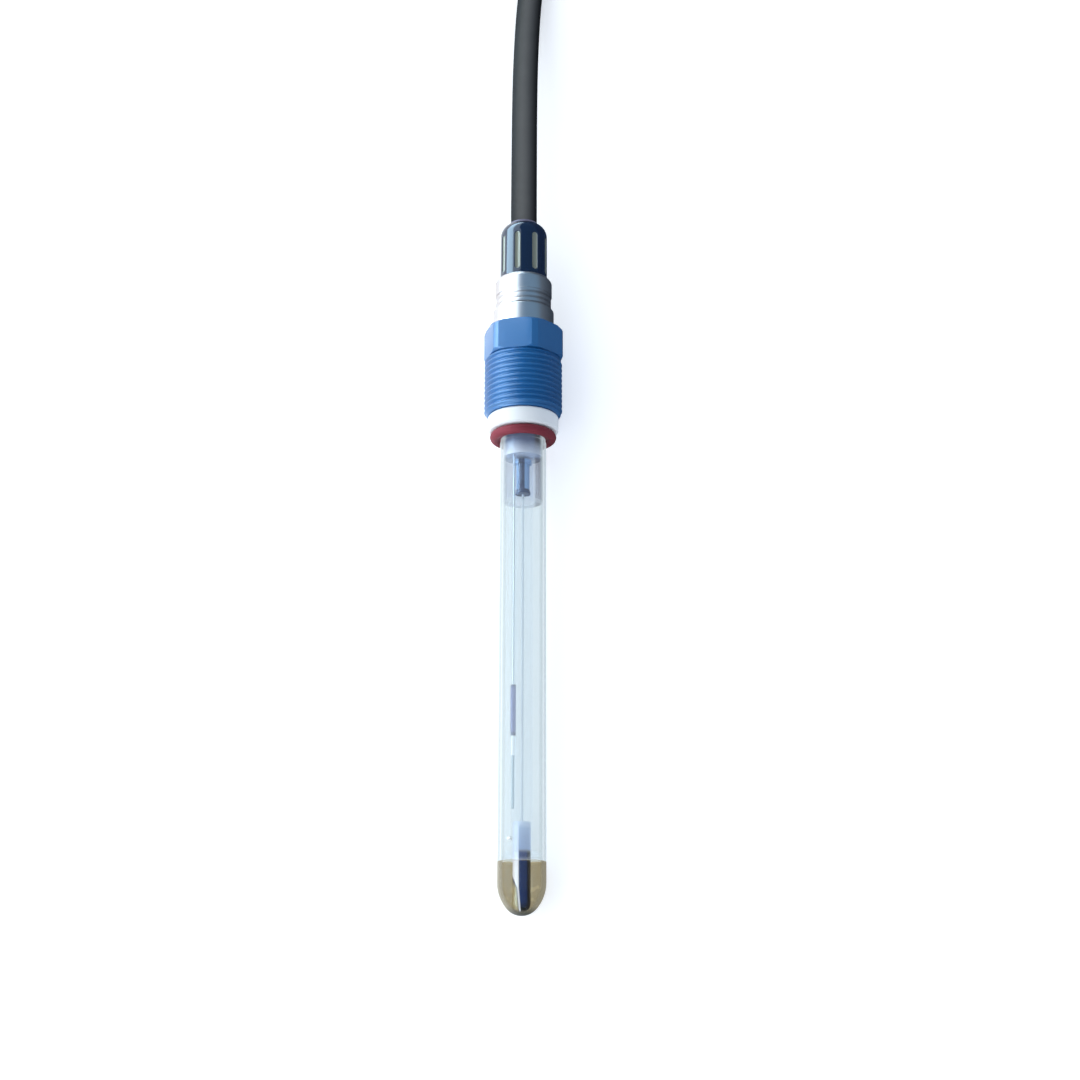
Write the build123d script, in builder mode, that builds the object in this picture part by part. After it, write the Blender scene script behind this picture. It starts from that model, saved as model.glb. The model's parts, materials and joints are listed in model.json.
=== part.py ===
import math
import os
from build123d import *

os.makedirs("parts", exist_ok=True)

# All sizes are in millimetres. Heights along the electrode are counted from the tip of its bulb.

# Glass shaft and the membrane bulb blown on its end
shaft_radius = 6.0
shaft_wall = 0.9
bulb_length = 8.0
bulb_nose = 4.8
membrane_height = 12.9
membrane_wall = 0.5
exposed_length = 120.0
neck_step = 0.2
shaft_end_depth = 12.0
fill_gap = 0.04

# Inner stem, flared out to the shaft at the ring seal
stem_radius = 2.6
stem_wall = 0.3
stem_drop = 4.0

# Lead-off element and what follows it up the stem
element_radius = 2.2
element_start = 0.8
element_length = 21.6
lead_radius = 0.3
plug_drop = 0.7
plug_length = 9.1
plug_radius = 1.7
plug_lip = 1.2
plug_lip_radius = 1.95
plug_seat = 1.0

# Reference side, in the gel beside the stem
stopper_length = 12.0
reference_x = -2.2
reference_y = -2.8
capillary_rise = 12.4
capillary_length = 13.0
capillary_radius = 0.35
cartridge_neck_length = 4.9
cartridge_neck_radius = 0.5
cartridge_length = 12.6
cartridge_radius = 0.675
wire_radius = 0.2
junction_rise = 5.1
junction_radius = 0.5
junction_angle = -122.0

# Seal ring and loose thrust collar under the screw head
ring_gap = 0.4
ring_section = 2.5
ring_outer_radius = 8.6
ring_land = 1.3
collar_length = 4.5
collar_radius = 9.2
collar_chamfer = 0.5
collar_play = 0.05
running_gap = 0.08

# Screw head: process thread and hexagon in one moulding
thread_radius = 10.2
thread_length = 15.9
thread_lead_in = 1.0
undercut_radius = 9.3
undercut_length = 0.7
hex_width = 19.0
hex_corner_radius = 10.5
hex_length = 8.2
hex_turn = -12.7
hex_chamfer = 0.6
head_bore_gap = 0.1
lead_chamber_radius = 4.2

# Socket sleeve pressed into the head
socket_radius = 8.0
socket_wall = 0.65
socket_depth = 5.5
socket_band = 5.4
socket_floor = 1.2
socket_chamfer = 0.3
press_gap = 0.03
contact_boss_radius = 2.6
contact_boss_below = 2.5
contact_boss_above = 2.8
pin_radius = 0.75
pin_below = 2.0
pin_above = 3.5

# Coupling nut that screws into the socket sleeve
nut_thread_gap = 0.05
nut_pitch = 1.5
nut_turns_engaged = 5
nut_thread_shown = 4.2
nut_ring_radius = 7.5
nut_ring_length = 4.8
nut_top_radius = 6.75
nut_top_chamfer = 1.0
nut_play = 0.1

# Cable plug: insulating core, fluted cap, seal and clamp
core_radius = 5.2
core_flange_radius = 6.4
core_flange_length = 1.2
core_recess_gap = 0.15
core_recess_depth = 2.0
core_in_cap = 8.5
contact_radius = 1.9
contact_length = 9.6
contact_gap = 0.1
contact_bore_depth = 5.6
cap_radius = 6.2
cap_length = 16.5
cap_shoulder = 3.4
cap_shoulder_rim = 0.4
cap_edge_chamfer = 0.25
flute_count = 8
flute_radius = 0.95
flute_depth = 0.55
flute_length = 11.0
flute_start = 1.1
flute_turn = 29.7
clamp_wall = 1.1
clamp_length = 4.0
seal_wall = 0.4

# Cable, its put-away hank and the coaxial plug on its end
cable_radius = 3.5
cable_out = 23.0
cable_dip = (0.2, 145.0, 8.6)
cable_landing = (1.4, 172.0)
cable_entry = (4.9, 194.0)
bend_share = 0.45
hank_side = 6.0
hank_near = 208.0
hank_run = 76.0
hank_fold = 28.0
tie_width = 5.0
tie_thickness = 0.8
tail_rise_start = 11.0
tail_rise_end = 24.0
tail_lift = 0.2
boot_lead = 30.0
boot_mouth_radius = 4.6
boot_end_radius = 5.4
boot_length = 16.0
boot_grip = 6.0
ferrule_radius = 4.25
ferrule_bore = 2.6
ferrule_length = 13.0
flange_radius = 5.6
flange_length = 4.0
bayonet_radius = 7.25
bayonet_length = 14.3
bayonet_hub = 4.3
bayonet_bore = 5.0
bayonet_play = 0.2
bayonet_chamfer = 0.6
cam_width = 2.2
cam_depth = 6.0
bush_radius = 4.85
sleeve_radius = 4.05
sleeve_bore = 3.3
sleeve_setback = 0.5
insulator_radius = 2.35
insulator_setback = 3.2
coax_pin_radius = 0.68
coax_pin_setback = 0.8
coax_pin_taper = 0.8

# Heights that follow from the sizes above
shaft_bore = shaft_radius - shaft_wall
nose_gap = bulb_length - bulb_nose
flank_radius = (shaft_radius**2 + nose_gap**2 - bulb_nose**2) / (2 * (shaft_radius - bulb_nose))
nose_sweep = math.degrees(math.atan2(flank_radius - shaft_radius, nose_gap))
neck_radius = shaft_radius - neck_step
stem_bore = stem_radius - stem_wall
stem_top = exposed_length - stem_drop
gel_top = stem_top - stopper_length
plug_top = stem_top - plug_drop
plug_start = plug_top - plug_length
element_top = element_start + element_length
ring_start = exposed_length + ring_gap
collar_start = ring_start + ring_section
thread_start = collar_start + collar_length
crest_start = thread_start + thread_lead_in
hex_start = thread_start + thread_length
crest_end = hex_start - undercut_length
head_top = hex_start + hex_length
shaft_top = thread_start + shaft_end_depth
socket_start = head_top - socket_depth
socket_top = head_top + socket_band
socket_bore = socket_radius - socket_wall
floor_top = socket_start + socket_floor
nut_thread_radius = socket_bore - nut_thread_gap
nut_travel = nut_pitch * nut_turns_engaged
nut_start = socket_top - nut_travel
nut_ring_start = socket_top + nut_thread_shown
nut_top = nut_ring_start + nut_ring_length
core_start = nut_start - nut_play - core_flange_length
cap_start = nut_top + nut_play
cap_top = cap_start + cap_length
core_top = cap_start + core_in_cap
clamp_top = core_top + clamp_length
contact_start = core_start + core_recess_depth + contact_gap
pin_start = socket_start - contact_boss_below - pin_below
pin_top = floor_top + contact_boss_above + pin_above
seal_radius = cable_radius + seal_wall
capillary_start = membrane_height + capillary_rise
capillary_top = capillary_start + capillary_length
junction_height = membrane_height + junction_rise
cartridge_start = capillary_top + cartridge_neck_length
cartridge_top = cartridge_start + cartridge_length

# The electrode lies on its bulb and on the first crest of its thread, so its axis tilts a little.
tilt = 0.0
for step in range(12):
    flank_drop = flank_radius - (flank_radius - shaft_radius) * math.cos(tilt)
    tip_height = flank_drop - bulb_length * math.sin(tilt)
    tilt = math.asin((thread_radius * math.cos(tilt) - tip_height) / crest_start)
along = Vector(0, math.cos(tilt), math.sin(tilt))
away = Vector(0, -math.sin(tilt), math.cos(tilt))
tip_y = -(cap_top * math.cos(tilt) + seal_radius * math.sin(tilt)) / 2
tip = Vector(0, tip_y, tip_height)

# Local X is to the right, local Z runs up the electrode, and local -Y faces up from the floor.
lying = Plane(origin=tip, x_dir=(1, 0, 0), z_dir=along)
# The same axis as a drawing plane for turned profiles: X is the radius, Y the height.
profile = Plane(origin=tip, x_dir=(1, 0, 0), z_dir=away)
body_axis = Axis(tip, along)


def level(height):
    return lying.offset(height)


def side_plane(angle, radius, height):
    """A plane that touches the round body at an angle, facing out, with X along the electrode."""
    turn = math.radians(angle)
    out = lying.x_dir * math.cos(turn) + lying.y_dir * math.sin(turn)
    return Plane(origin=tip + along * height + out * radius, x_dir=along, z_dir=out)


def bulb_arcs(inset):
    """The bulb's nose and flank, tangent to each other, drawn inside its outer face by an inset."""
    CenterArc((0, bulb_nose), bulb_nose - inset, 270, nose_sweep)
    flank_centre = (shaft_radius - flank_radius, bulb_length)
    CenterArc(flank_centre, flank_radius - inset, 270 + nose_sweep, 90 - nose_sweep)


# Glass

with BuildPart() as glass_shaft:
    with BuildSketch(profile):
        with BuildLine():
            Polyline(
                (shaft_bore, membrane_height),
                (shaft_radius, membrane_height),
                (shaft_radius, exposed_length),
                (neck_radius, exposed_length + neck_step),
                (neck_radius, shaft_top),
                (shaft_bore, shaft_top),
                close=True,
            )
        make_face()
    revolve(axis=body_axis)
    with BuildSketch(side_plane(junction_angle, shaft_radius, junction_height)):
        Circle(junction_radius)
    extrude(amount=-2 * shaft_wall, mode=Mode.SUBTRACT)
glass_shaft.part.label = "glass_shaft"
export_step(glass_shaft.part, "parts/glass_shaft.step")

with BuildPart() as ceramic_junction:
    with BuildSketch(side_plane(junction_angle, shaft_bore, junction_height)):
        Circle(junction_radius - fill_gap)
    extrude(amount=shaft_wall - fill_gap)
ceramic_junction.part.label = "ceramic_junction"
export_step(ceramic_junction.part, "parts/ceramic_junction.step")

bulb_bore = shaft_radius - membrane_wall
with BuildPart() as ph_membrane:
    with BuildSketch(profile):
        with BuildLine():
            bulb_arcs(0)
            Line((shaft_radius, bulb_length), (shaft_radius, membrane_height))
            Line((shaft_radius, membrane_height), (bulb_bore, membrane_height))
            Line((bulb_bore, membrane_height), (bulb_bore, bulb_length))
            bulb_arcs(membrane_wall)
            Line((0, membrane_wall), (0, 0))
        make_face()
    revolve(axis=body_axis)
ph_membrane.part.label = "ph_membrane"
export_step(ph_membrane.part, "parts/ph_membrane.step")

# The stem opens like a trumpet to the shaft's bore, where the two are fused.
flare_radius = shaft_bore - stem_radius
flare_centre = (shaft_bore, membrane_height + flare_radius + stem_wall)
with BuildPart() as inner_stem:
    with BuildSketch(profile):
        with BuildLine():
            CenterArc(flare_centre, flare_radius, 180, 90)
            CenterArc(flare_centre, flare_radius + stem_wall, 180, 90)
            Line((shaft_bore, membrane_height), (shaft_bore, membrane_height + stem_wall))
            Line((stem_radius, flare_centre[1]), (stem_radius, stem_top))
            Line((stem_radius, stem_top), (stem_bore, stem_top))
            Line((stem_bore, stem_top), (stem_bore, flare_centre[1]))
        make_face()
    revolve(axis=body_axis)
inner_stem.part.label = "inner_stem"
export_step(inner_stem.part, "parts/inner_stem.step")

# Inside the bulb and the stem

with BuildPart() as lead_off_element:
    with BuildSketch(profile):
        with BuildLine():
            CenterArc((0, element_start + element_radius), element_radius, 270, 90)
            Polyline(
                (element_radius, element_start + element_radius),
                (element_radius, element_top),
                (0, element_top),
                (0, element_start),
            )
        make_face()
    revolve(axis=body_axis)
lead_off_element.part.label = "lead_off_element"
export_step(lead_off_element.part, "parts/lead_off_element.step")

with BuildPart() as lead_off_wire:
    with BuildSketch(level(element_top)):
        Circle(lead_radius)
    extrude(amount=plug_start - element_top)
lead_off_wire.part.label = "lead_off_wire"
export_step(lead_off_wire.part, "parts/lead_off_wire.step")

fill_radius = bulb_bore - fill_gap
fill_start = membrane_wall + fill_gap
element_clear = element_radius + fill_gap
with BuildPart() as inner_buffer:
    with BuildSketch(profile):
        with BuildLine():
            bulb_arcs(membrane_wall + fill_gap)
            Polyline(
                (fill_radius, bulb_length),
                (fill_radius, membrane_height - fill_gap),
                (0, membrane_height - fill_gap),
                (0, fill_start),
            )
        make_face()
    revolve(axis=body_axis)
    with BuildSketch(profile):
        with BuildLine():
            CenterArc((0, element_start + element_radius), element_clear, 270, 90)
            Polyline(
                (element_clear, element_start + element_radius),
                (element_clear, membrane_height),
                (0, membrane_height),
                (0, element_start - fill_gap),
            )
        make_face()
    revolve(axis=body_axis, mode=Mode.SUBTRACT)
inner_buffer.part.label = "inner_buffer"
export_step(inner_buffer.part, "parts/inner_buffer.step")

# The stem's stopper carries the lead. It seats at its upper end and flares out to a lip below.
seat_radius = stem_bore - fill_gap
with BuildPart() as stem_plug:
    with BuildSketch(profile):
        with BuildLine():
            Polyline(
                (0, plug_start),
                (plug_lip_radius, plug_start),
                (plug_lip_radius, plug_start + plug_lip / 3),
                (plug_radius, plug_start + plug_lip),
                (plug_radius, plug_top - plug_seat),
                (seat_radius, plug_top - plug_seat),
                (seat_radius, plug_top),
                (0, plug_top),
                close=True,
            )
        make_face()
    revolve(axis=body_axis)
stem_plug.part.label = "stem_plug"
export_step(stem_plug.part, "parts/stem_plug.step")

# Reference system beside the stem

with BuildPart() as reference_capillary:
    with BuildSketch(level(capillary_start)):
        with Locations((reference_x, reference_y)):
            Circle(capillary_radius)
    extrude(amount=capillary_length)
reference_capillary.part.label = "reference_capillary"
export_step(reference_capillary.part, "parts/reference_capillary.step")

with BuildPart() as reference_cartridge:
    with BuildSketch(level(capillary_top)):
        with Locations((reference_x, reference_y)):
            Circle(cartridge_neck_radius)
    extrude(amount=cartridge_neck_length)
    with BuildSketch(level(cartridge_start)):
        with Locations((reference_x, reference_y)):
            Circle(cartridge_radius)
    extrude(amount=cartridge_length)
reference_cartridge.part.label = "reference_cartridge"
export_step(reference_cartridge.part, "parts/reference_cartridge.step")

with BuildPart() as reference_wire:
    with BuildSketch(level(cartridge_top)):
        with Locations((reference_x, reference_y)):
            Circle(wire_radius)
    extrude(amount=socket_start - cartridge_top)
reference_wire.part.label = "reference_wire"
export_step(reference_wire.part, "parts/reference_wire.step")

gel_radius = shaft_bore - fill_gap
gel_inner = stem_radius + fill_gap
gel_foot = flare_centre[1] - math.sqrt((flare_radius - fill_gap) ** 2 - fill_gap**2)
with BuildPart() as reference_gel:
    with BuildSketch(profile):
        with BuildLine():
            Polyline(
                (gel_radius, gel_foot),
                (gel_radius, gel_top),
                (gel_inner, gel_top),
                (gel_inner, flare_centre[1]),
            )
            RadiusArc((gel_inner, flare_centre[1]), (gel_radius, gel_foot), flare_radius - fill_gap)
        make_face()
    revolve(axis=body_axis)
    with BuildSketch(level(capillary_start)):
        with Locations((reference_x, reference_y)):
            Circle(cartridge_radius + fill_gap)
    extrude(amount=gel_top - capillary_start, mode=Mode.SUBTRACT)
reference_gel.part.label = "reference_gel"
export_step(reference_gel.part, "parts/reference_gel.step")

with BuildPart() as shaft_stopper:
    with BuildSketch(level(gel_top + fill_gap)):
        Circle(gel_radius)
        Circle(gel_inner, mode=Mode.SUBTRACT)
        with Locations((reference_x, reference_y)):
            Circle(wire_radius + fill_gap, mode=Mode.SUBTRACT)
    extrude(amount=stem_top - gel_top - fill_gap)
shaft_stopper.part.label = "shaft_stopper"
export_step(shaft_stopper.part, "parts/shaft_stopper.step")

# Screw head and what seals the shaft in it

ring_centre = ring_outer_radius - ring_section / 2
with BuildPart() as o_ring:
    with BuildSketch(profile):
        with Locations((ring_centre, ring_start + ring_section / 2)):
            Circle(ring_section / 2)
        with Locations((neck_radius, ring_start + ring_section / 2)):
            Rectangle(ring_centre - neck_radius, ring_land, align=(Align.MIN, Align.CENTER))
    revolve(axis=body_axis)
o_ring.part.label = "o_ring"
export_step(o_ring.part, "parts/o_ring.step")

with BuildPart() as thrust_collar:
    with BuildSketch(level(collar_start + collar_play)):
        Circle(collar_radius)
        Circle(neck_radius + running_gap, mode=Mode.SUBTRACT)
    extrude(amount=collar_length - 2 * collar_play)
    outer_rims = thrust_collar.edges().filter_by(GeomType.CIRCLE).sort_by(SortBy.RADIUS)[-2:]
    chamfer(outer_rims, collar_chamfer)
thrust_collar.part.label = "thrust_collar"
export_step(thrust_collar.part, "parts/thrust_collar.step")

with BuildPart() as threaded_head:
    with BuildSketch(level(hex_start)):
        RegularPolygon(hex_width / 2, 6, major_radius=False, rotation=hex_turn)
    extrude(amount=hex_length)
    with BuildSketch(profile):
        with BuildLine():
            Polyline(
                (0, hex_start),
                (hex_corner_radius - hex_chamfer, hex_start),
                (hex_corner_radius, hex_start + hex_chamfer),
                (hex_corner_radius, head_top - hex_chamfer),
                (hex_corner_radius - hex_chamfer, head_top),
                (0, head_top),
                close=True,
            )
        make_face()
    revolve(axis=body_axis, mode=Mode.INTERSECT)
    with BuildSketch(profile):
        with BuildLine():
            Polyline(
                (0, thread_start),
                (undercut_radius, thread_start),
                (thread_radius, crest_start),
                (thread_radius, crest_end),
                (undercut_radius, hex_start),
                (0, hex_start),
                close=True,
            )
        make_face()
    revolve(axis=body_axis)
    with BuildSketch(level(thread_start)):
        Circle(neck_radius + head_bore_gap)
    extrude(amount=shaft_top + head_bore_gap - thread_start, mode=Mode.SUBTRACT)
    with BuildSketch(level(shaft_top)):
        Circle(lead_chamber_radius)
    extrude(amount=socket_start - shaft_top, mode=Mode.SUBTRACT)
    with BuildSketch(level(socket_start)):
        Circle(socket_radius + press_gap)
    extrude(amount=socket_depth, mode=Mode.SUBTRACT)
threaded_head.part.label = "threaded_head"
export_step(threaded_head.part, "parts/threaded_head.step")

# Socket and contacts

with BuildPart() as head_socket:
    with BuildSketch(level(socket_start)):
        Circle(socket_radius)
    extrude(amount=socket_top - socket_start)
    with BuildSketch(level(floor_top)):
        Circle(socket_bore)
    extrude(amount=socket_top - floor_top, mode=Mode.SUBTRACT)
    with BuildSketch(level(socket_start)):
        Circle(contact_boss_radius + press_gap)
    extrude(amount=socket_floor, mode=Mode.SUBTRACT)
    socket_rims = head_socket.edges().filter_by(GeomType.CIRCLE).group_by(SortBy.RADIUS)[-1]
    chamfer(socket_rims, socket_chamfer)
head_socket.part.label = "head_socket"
export_step(head_socket.part, "parts/head_socket.step")

boss_start = socket_start - contact_boss_below
with BuildPart() as contact_insulator:
    with BuildSketch(level(boss_start)):
        Circle(contact_boss_radius)
        Circle(pin_radius, mode=Mode.SUBTRACT)
    extrude(amount=floor_top + contact_boss_above - boss_start)
contact_insulator.part.label = "contact_insulator"
export_step(contact_insulator.part, "parts/contact_insulator.step")

with BuildPart() as contact_pin:
    with BuildSketch(level(pin_start)):
        Circle(pin_radius)
    extrude(amount=pin_top - pin_start)
    fillet(contact_pin.edges().filter_by(GeomType.CIRCLE).sort_by(body_axis)[-1], pin_radius / 2)
contact_pin.part.label = "contact_pin"
export_step(contact_pin.part, "parts/contact_pin.step")

with BuildPart() as signal_lead:
    with BuildSketch(level(plug_top)):
        Circle(lead_radius)
    extrude(amount=pin_start - plug_top)
signal_lead.part.label = "signal_lead"
export_step(signal_lead.part, "parts/signal_lead.step")

with BuildPart() as head_potting:
    with BuildSketch(level(stem_top + fill_gap)):
        Circle(gel_radius)
    extrude(amount=shaft_top - stem_top - fill_gap)
    with BuildSketch(level(shaft_top)):
        Circle(lead_chamber_radius - fill_gap)
    extrude(amount=socket_start - fill_gap - shaft_top)
    with BuildSketch(level(boss_start - fill_gap)):
        Circle(contact_boss_radius + fill_gap)
    extrude(amount=socket_start - boss_start + fill_gap, mode=Mode.SUBTRACT)
    with BuildSketch(level(pin_start - fill_gap)):
        Circle(pin_radius + fill_gap)
    extrude(amount=boss_start - pin_start + fill_gap, mode=Mode.SUBTRACT)
    with BuildSketch(level(stem_top)):
        Circle(lead_radius + fill_gap)
        with Locations((reference_x, reference_y)):
            Circle(wire_radius + fill_gap)
    extrude(amount=socket_start - stem_top, mode=Mode.SUBTRACT)
head_potting.part.label = "head_potting"
export_step(head_potting.part, "parts/head_potting.step")

# Cable plug

core_recess = contact_boss_radius + core_recess_gap
core_clear = core_radius + running_gap
with BuildPart() as coupling_nut:
    with BuildSketch(profile):
        with BuildLine():
            Polyline(
                (core_clear, nut_start),
                (nut_thread_radius - nut_pitch / 3, nut_start),
                (nut_thread_radius, nut_start + nut_pitch / 3),
                (nut_thread_radius, nut_ring_start),
                (nut_ring_radius, nut_ring_start),
                (nut_ring_radius, nut_top - nut_top_chamfer),
                (nut_top_radius, nut_top),
                (core_clear, nut_top),
                close=True,
            )
        make_face()
    revolve(axis=body_axis)
coupling_nut.part.label = "coupling_nut"
export_step(coupling_nut.part, "parts/coupling_nut.step")

with BuildPart() as plug_core:
    with BuildSketch(level(core_start)):
        Circle(core_flange_radius)
    extrude(amount=core_flange_length)
    with BuildSketch(level(core_start + core_flange_length)):
        Circle(core_radius)
    extrude(amount=core_top - core_start - core_flange_length)
    with BuildSketch(level(core_start)):
        Circle(core_recess)
    extrude(amount=core_recess_depth, mode=Mode.SUBTRACT)
    with BuildSketch(level(core_start)):
        Circle(contact_radius + fill_gap)
    extrude(amount=contact_start + contact_length - core_start, mode=Mode.SUBTRACT)
plug_core.part.label = "plug_core"
export_step(plug_core.part, "parts/plug_core.step")

with BuildPart() as socket_contact:
    with BuildSketch(level(contact_start)):
        Circle(contact_radius)
    extrude(amount=contact_length)
    with BuildSketch(level(contact_start)):
        Circle(pin_radius + contact_gap)
    extrude(amount=contact_bore_depth, mode=Mode.SUBTRACT)
socket_contact.part.label = "socket_contact"
export_step(socket_contact.part, "parts/socket_contact.step")

shoulder_start = cap_top - cap_shoulder - cap_shoulder_rim
shoulder_centre = (cap_radius - cap_shoulder, shoulder_start)
mouth_radius = seal_radius + press_gap
mouth_height = shoulder_start + math.sqrt(cap_shoulder**2 - (mouth_radius - shoulder_centre[0]) ** 2)
# A flute is a round trough with round ends, cut by a rod that lies along the cap.
flute_axis_radius = cap_radius + flute_radius - flute_depth
flute_rod = flute_length - 2 * flute_radius
flute_middle = cap_start + flute_start + flute_length / 2
flute_rods = []
flute_ends = []
for flute in range(flute_count):
    flute_angle = flute_turn - 90 + 360 * flute / flute_count
    flute_rods.append(side_plane(flute_angle, flute_axis_radius, flute_middle))
    for end in (-1, 1):
        flute_ends.append(side_plane(flute_angle, flute_axis_radius, flute_middle + end * flute_rod / 2))
with BuildPart() as plug_cap:
    with BuildSketch(profile):
        with BuildLine():
            Polyline(
                (0, cap_start),
                (cap_radius - cap_edge_chamfer, cap_start),
                (cap_radius, cap_start + cap_edge_chamfer),
                (cap_radius, shoulder_start),
            )
            RadiusArc((cap_radius, shoulder_start), (mouth_radius, mouth_height), -cap_shoulder)
            Polyline(
                (mouth_radius, mouth_height),
                (0, mouth_height),
                (0, cap_start),
            )
        make_face()
    revolve(axis=body_axis)
    with Locations(*flute_rods):
        Cylinder(flute_radius, flute_rod, rotation=(0, 90, 0), mode=Mode.SUBTRACT)
    with Locations(*flute_ends):
        Sphere(flute_radius, mode=Mode.SUBTRACT)
    with BuildSketch(level(cap_start)):
        Circle(core_radius + press_gap)
    extrude(amount=core_in_cap, mode=Mode.SUBTRACT)
    with BuildSketch(level(core_top)):
        Circle(cable_radius + clamp_wall + press_gap)
    extrude(amount=clamp_length, mode=Mode.SUBTRACT)
    with BuildSketch(level(clamp_top)):
        Circle(mouth_radius)
    extrude(amount=cap_top - clamp_top, mode=Mode.SUBTRACT)
plug_cap.part.label = "plug_cap"
export_step(plug_cap.part, "parts/plug_cap.step")

with BuildPart() as cable_clamp:
    with BuildSketch(level(core_top)):
        Circle(cable_radius + clamp_wall)
        Circle(cable_radius, mode=Mode.SUBTRACT)
    extrude(amount=clamp_length)
cable_clamp.part.label = "cable_clamp"
export_step(cable_clamp.part, "parts/cable_clamp.step")

with BuildPart() as cable_seal:
    with BuildSketch(level(clamp_top)):
        Circle(seal_radius)
        Circle(cable_radius, mode=Mode.SUBTRACT)
    extrude(amount=cap_top - clamp_top)
cable_seal.part.label = "cable_seal"
export_step(cable_seal.part, "parts/cable_seal.step")

# Cable: it leaves the cap in line with it, comes down to the floor and runs on to the hank.
cable_start = tip + along * core_top
cable_droop = tip + along * (cap_top + cable_out)
cable_route = [
    tuple(cable_start),
    tuple(cable_droop),
    cable_dip,
    (*cable_landing, cable_radius),
    (*cable_entry, cable_radius),
]
hank_centre = hank_side - hank_fold
hank_far = hank_near + hank_run
tail_x = hank_centre - hank_fold + cable_radius
top_layer = 3 * cable_radius
plug_height = 2 * cable_radius + bayonet_radius + press_gap
tail_route = [
    (tail_x, hank_far, top_layer),
    (tail_x, hank_far - tail_rise_start, top_layer + tail_lift),
    (tail_x, hank_far - tail_rise_end, plug_height),
    (tail_x, hank_far - boot_lead - boot_grip, plug_height),
]


def bend_radii(route):
    """One radius for each corner: as large as the shorter run beside it allows."""
    radii = []
    for before, corner, after in zip(route, route[1:], route[2:]):
        run_in = Vector(*corner) - Vector(*before)
        run_out = Vector(*after) - Vector(*corner)
        half_turn = math.radians(run_in.get_angle(run_out) / 2)
        radii.append(bend_share * min(run_in.length, run_out.length) / math.tan(half_turn))
    return radii


print("cable radii", [round(radius, 1) for radius in bend_radii(cable_route)])
print("tail radii", [round(radius, 1) for radius in bend_radii(tail_route)])

with BuildPart() as cable:
    with BuildLine() as cable_path:
        FilletPolyline(*cable_route, radius=bend_radii(cable_route))
    with BuildSketch(level(core_top)):
        Circle(cable_radius)
    sweep(path=cable_path.line)
cable.part.label = "cable"
export_step(cable.part, "parts/cable.step")
cable_length = cable_path.wires()[0].length
print("cable length", round(cable_length, 1), "volume share",
      round(cable.part.volume / (math.pi * cable_radius**2 * cable_length), 4))

with BuildPart() as cable_tail:
    with BuildLine() as tail_path:
        FilletPolyline(*tail_route, radius=bend_radii(tail_route))
    with BuildSketch(Plane(tail_path.line @ 0, z_dir=tail_path.line % 0)):
        Circle(cable_radius)
    sweep(path=tail_path.line)
cable_tail.part.label = "cable_tail"
export_step(cable_tail.part, "parts/cable_tail.step")
tail_length = tail_path.wires()[0].length
print("tail length", round(tail_length, 1), "volume share",
      round(cable_tail.part.volume / (math.pi * cable_radius**2 * tail_length), 4))

# The hank: two turns side by side on the floor, and one more on them as far as the tail
lane_mid = hank_fold - cable_radius
with BuildPart() as cable_hank:
    with BuildSketch(Plane.XY):
        with Locations((hank_centre, (hank_near + hank_far) / 2)):
            SlotCenterToCenter(hank_run, 2 * (lane_mid + 2 * cable_radius), rotation=90)
            SlotCenterToCenter(hank_run, 2 * (lane_mid - 2 * cable_radius), rotation=90, mode=Mode.SUBTRACT)
    extrude(amount=2 * cable_radius)
    with BuildSketch(Plane.XY.offset(2 * cable_radius)):
        with Locations((hank_centre, (hank_near + hank_far) / 2)):
            SlotCenterToCenter(hank_run, 2 * (lane_mid + cable_radius), rotation=90)
            SlotCenterToCenter(hank_run, 2 * (lane_mid - cable_radius), rotation=90, mode=Mode.SUBTRACT)
        with Locations((hank_centre, hank_near)):
            Rectangle(4 * hank_fold, 2 * hank_fold, align=(Align.CENTER, Align.MAX), mode=Mode.SUBTRACT)
            Rectangle(2 * hank_fold, hank_run, align=(Align.MAX, Align.MIN), mode=Mode.SUBTRACT)
    extrude(amount=2 * cable_radius)
cable_hank.part.label = "cable_hank"
export_step(cable_hank.part, "parts/cable_hank.step")


# Straps round the hank's two lanes, each as high as the turns that it holds
lanes_wide = 4 * cable_radius
tie_places = [
    (hank_centre + lane_mid, hank_near + hank_run / 2, 4 * cable_radius),
    (hank_centre - lane_mid, hank_near, 2 * cable_radius),
]
with BuildPart() as hank_ties:
    for tie_x, tie_y, lanes_high in tie_places:
        front = Plane(origin=(tie_x, tie_y - tie_width / 2, 0), x_dir=(1, 0, 0), z_dir=(0, -1, 0))
        with BuildSketch(front):
            Rectangle(
                lanes_wide + 2 * tie_thickness,
                lanes_high + tie_thickness,
                align=(Align.CENTER, Align.MIN),
            )
            with Locations((0, tie_thickness)):
                Rectangle(
                    lanes_wide,
                    lanes_high - tie_thickness,
                    align=(Align.CENTER, Align.MIN),
                    mode=Mode.SUBTRACT,
                )
        extrude(amount=-tie_width)
hank_ties.part.label = "hank_ties"
export_step(hank_ties.part, "parts/hank_ties.step")

# Coaxial bayonet plug, lying on the hank. Its local Z runs from the boot's mouth to the plug's front.
plug_line = Plane(origin=(tail_x, hank_far - boot_lead, plug_height), x_dir=(1, 0, 0), z_dir=(0, -1, 0))
plug_profile = Plane(origin=plug_line.origin, x_dir=(1, 0, 0), z_dir=(0, 0, -1))
plug_axis = Axis(plug_line.origin, plug_line.z_dir)
ferrule_end = boot_grip + ferrule_length
flange_end = ferrule_end + flange_length
bayonet_start = flange_end + bayonet_play
bayonet_end = bayonet_start + bayonet_length
hub_end = bayonet_start + bayonet_hub
sleeve_end = bayonet_end - sleeve_setback

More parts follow.
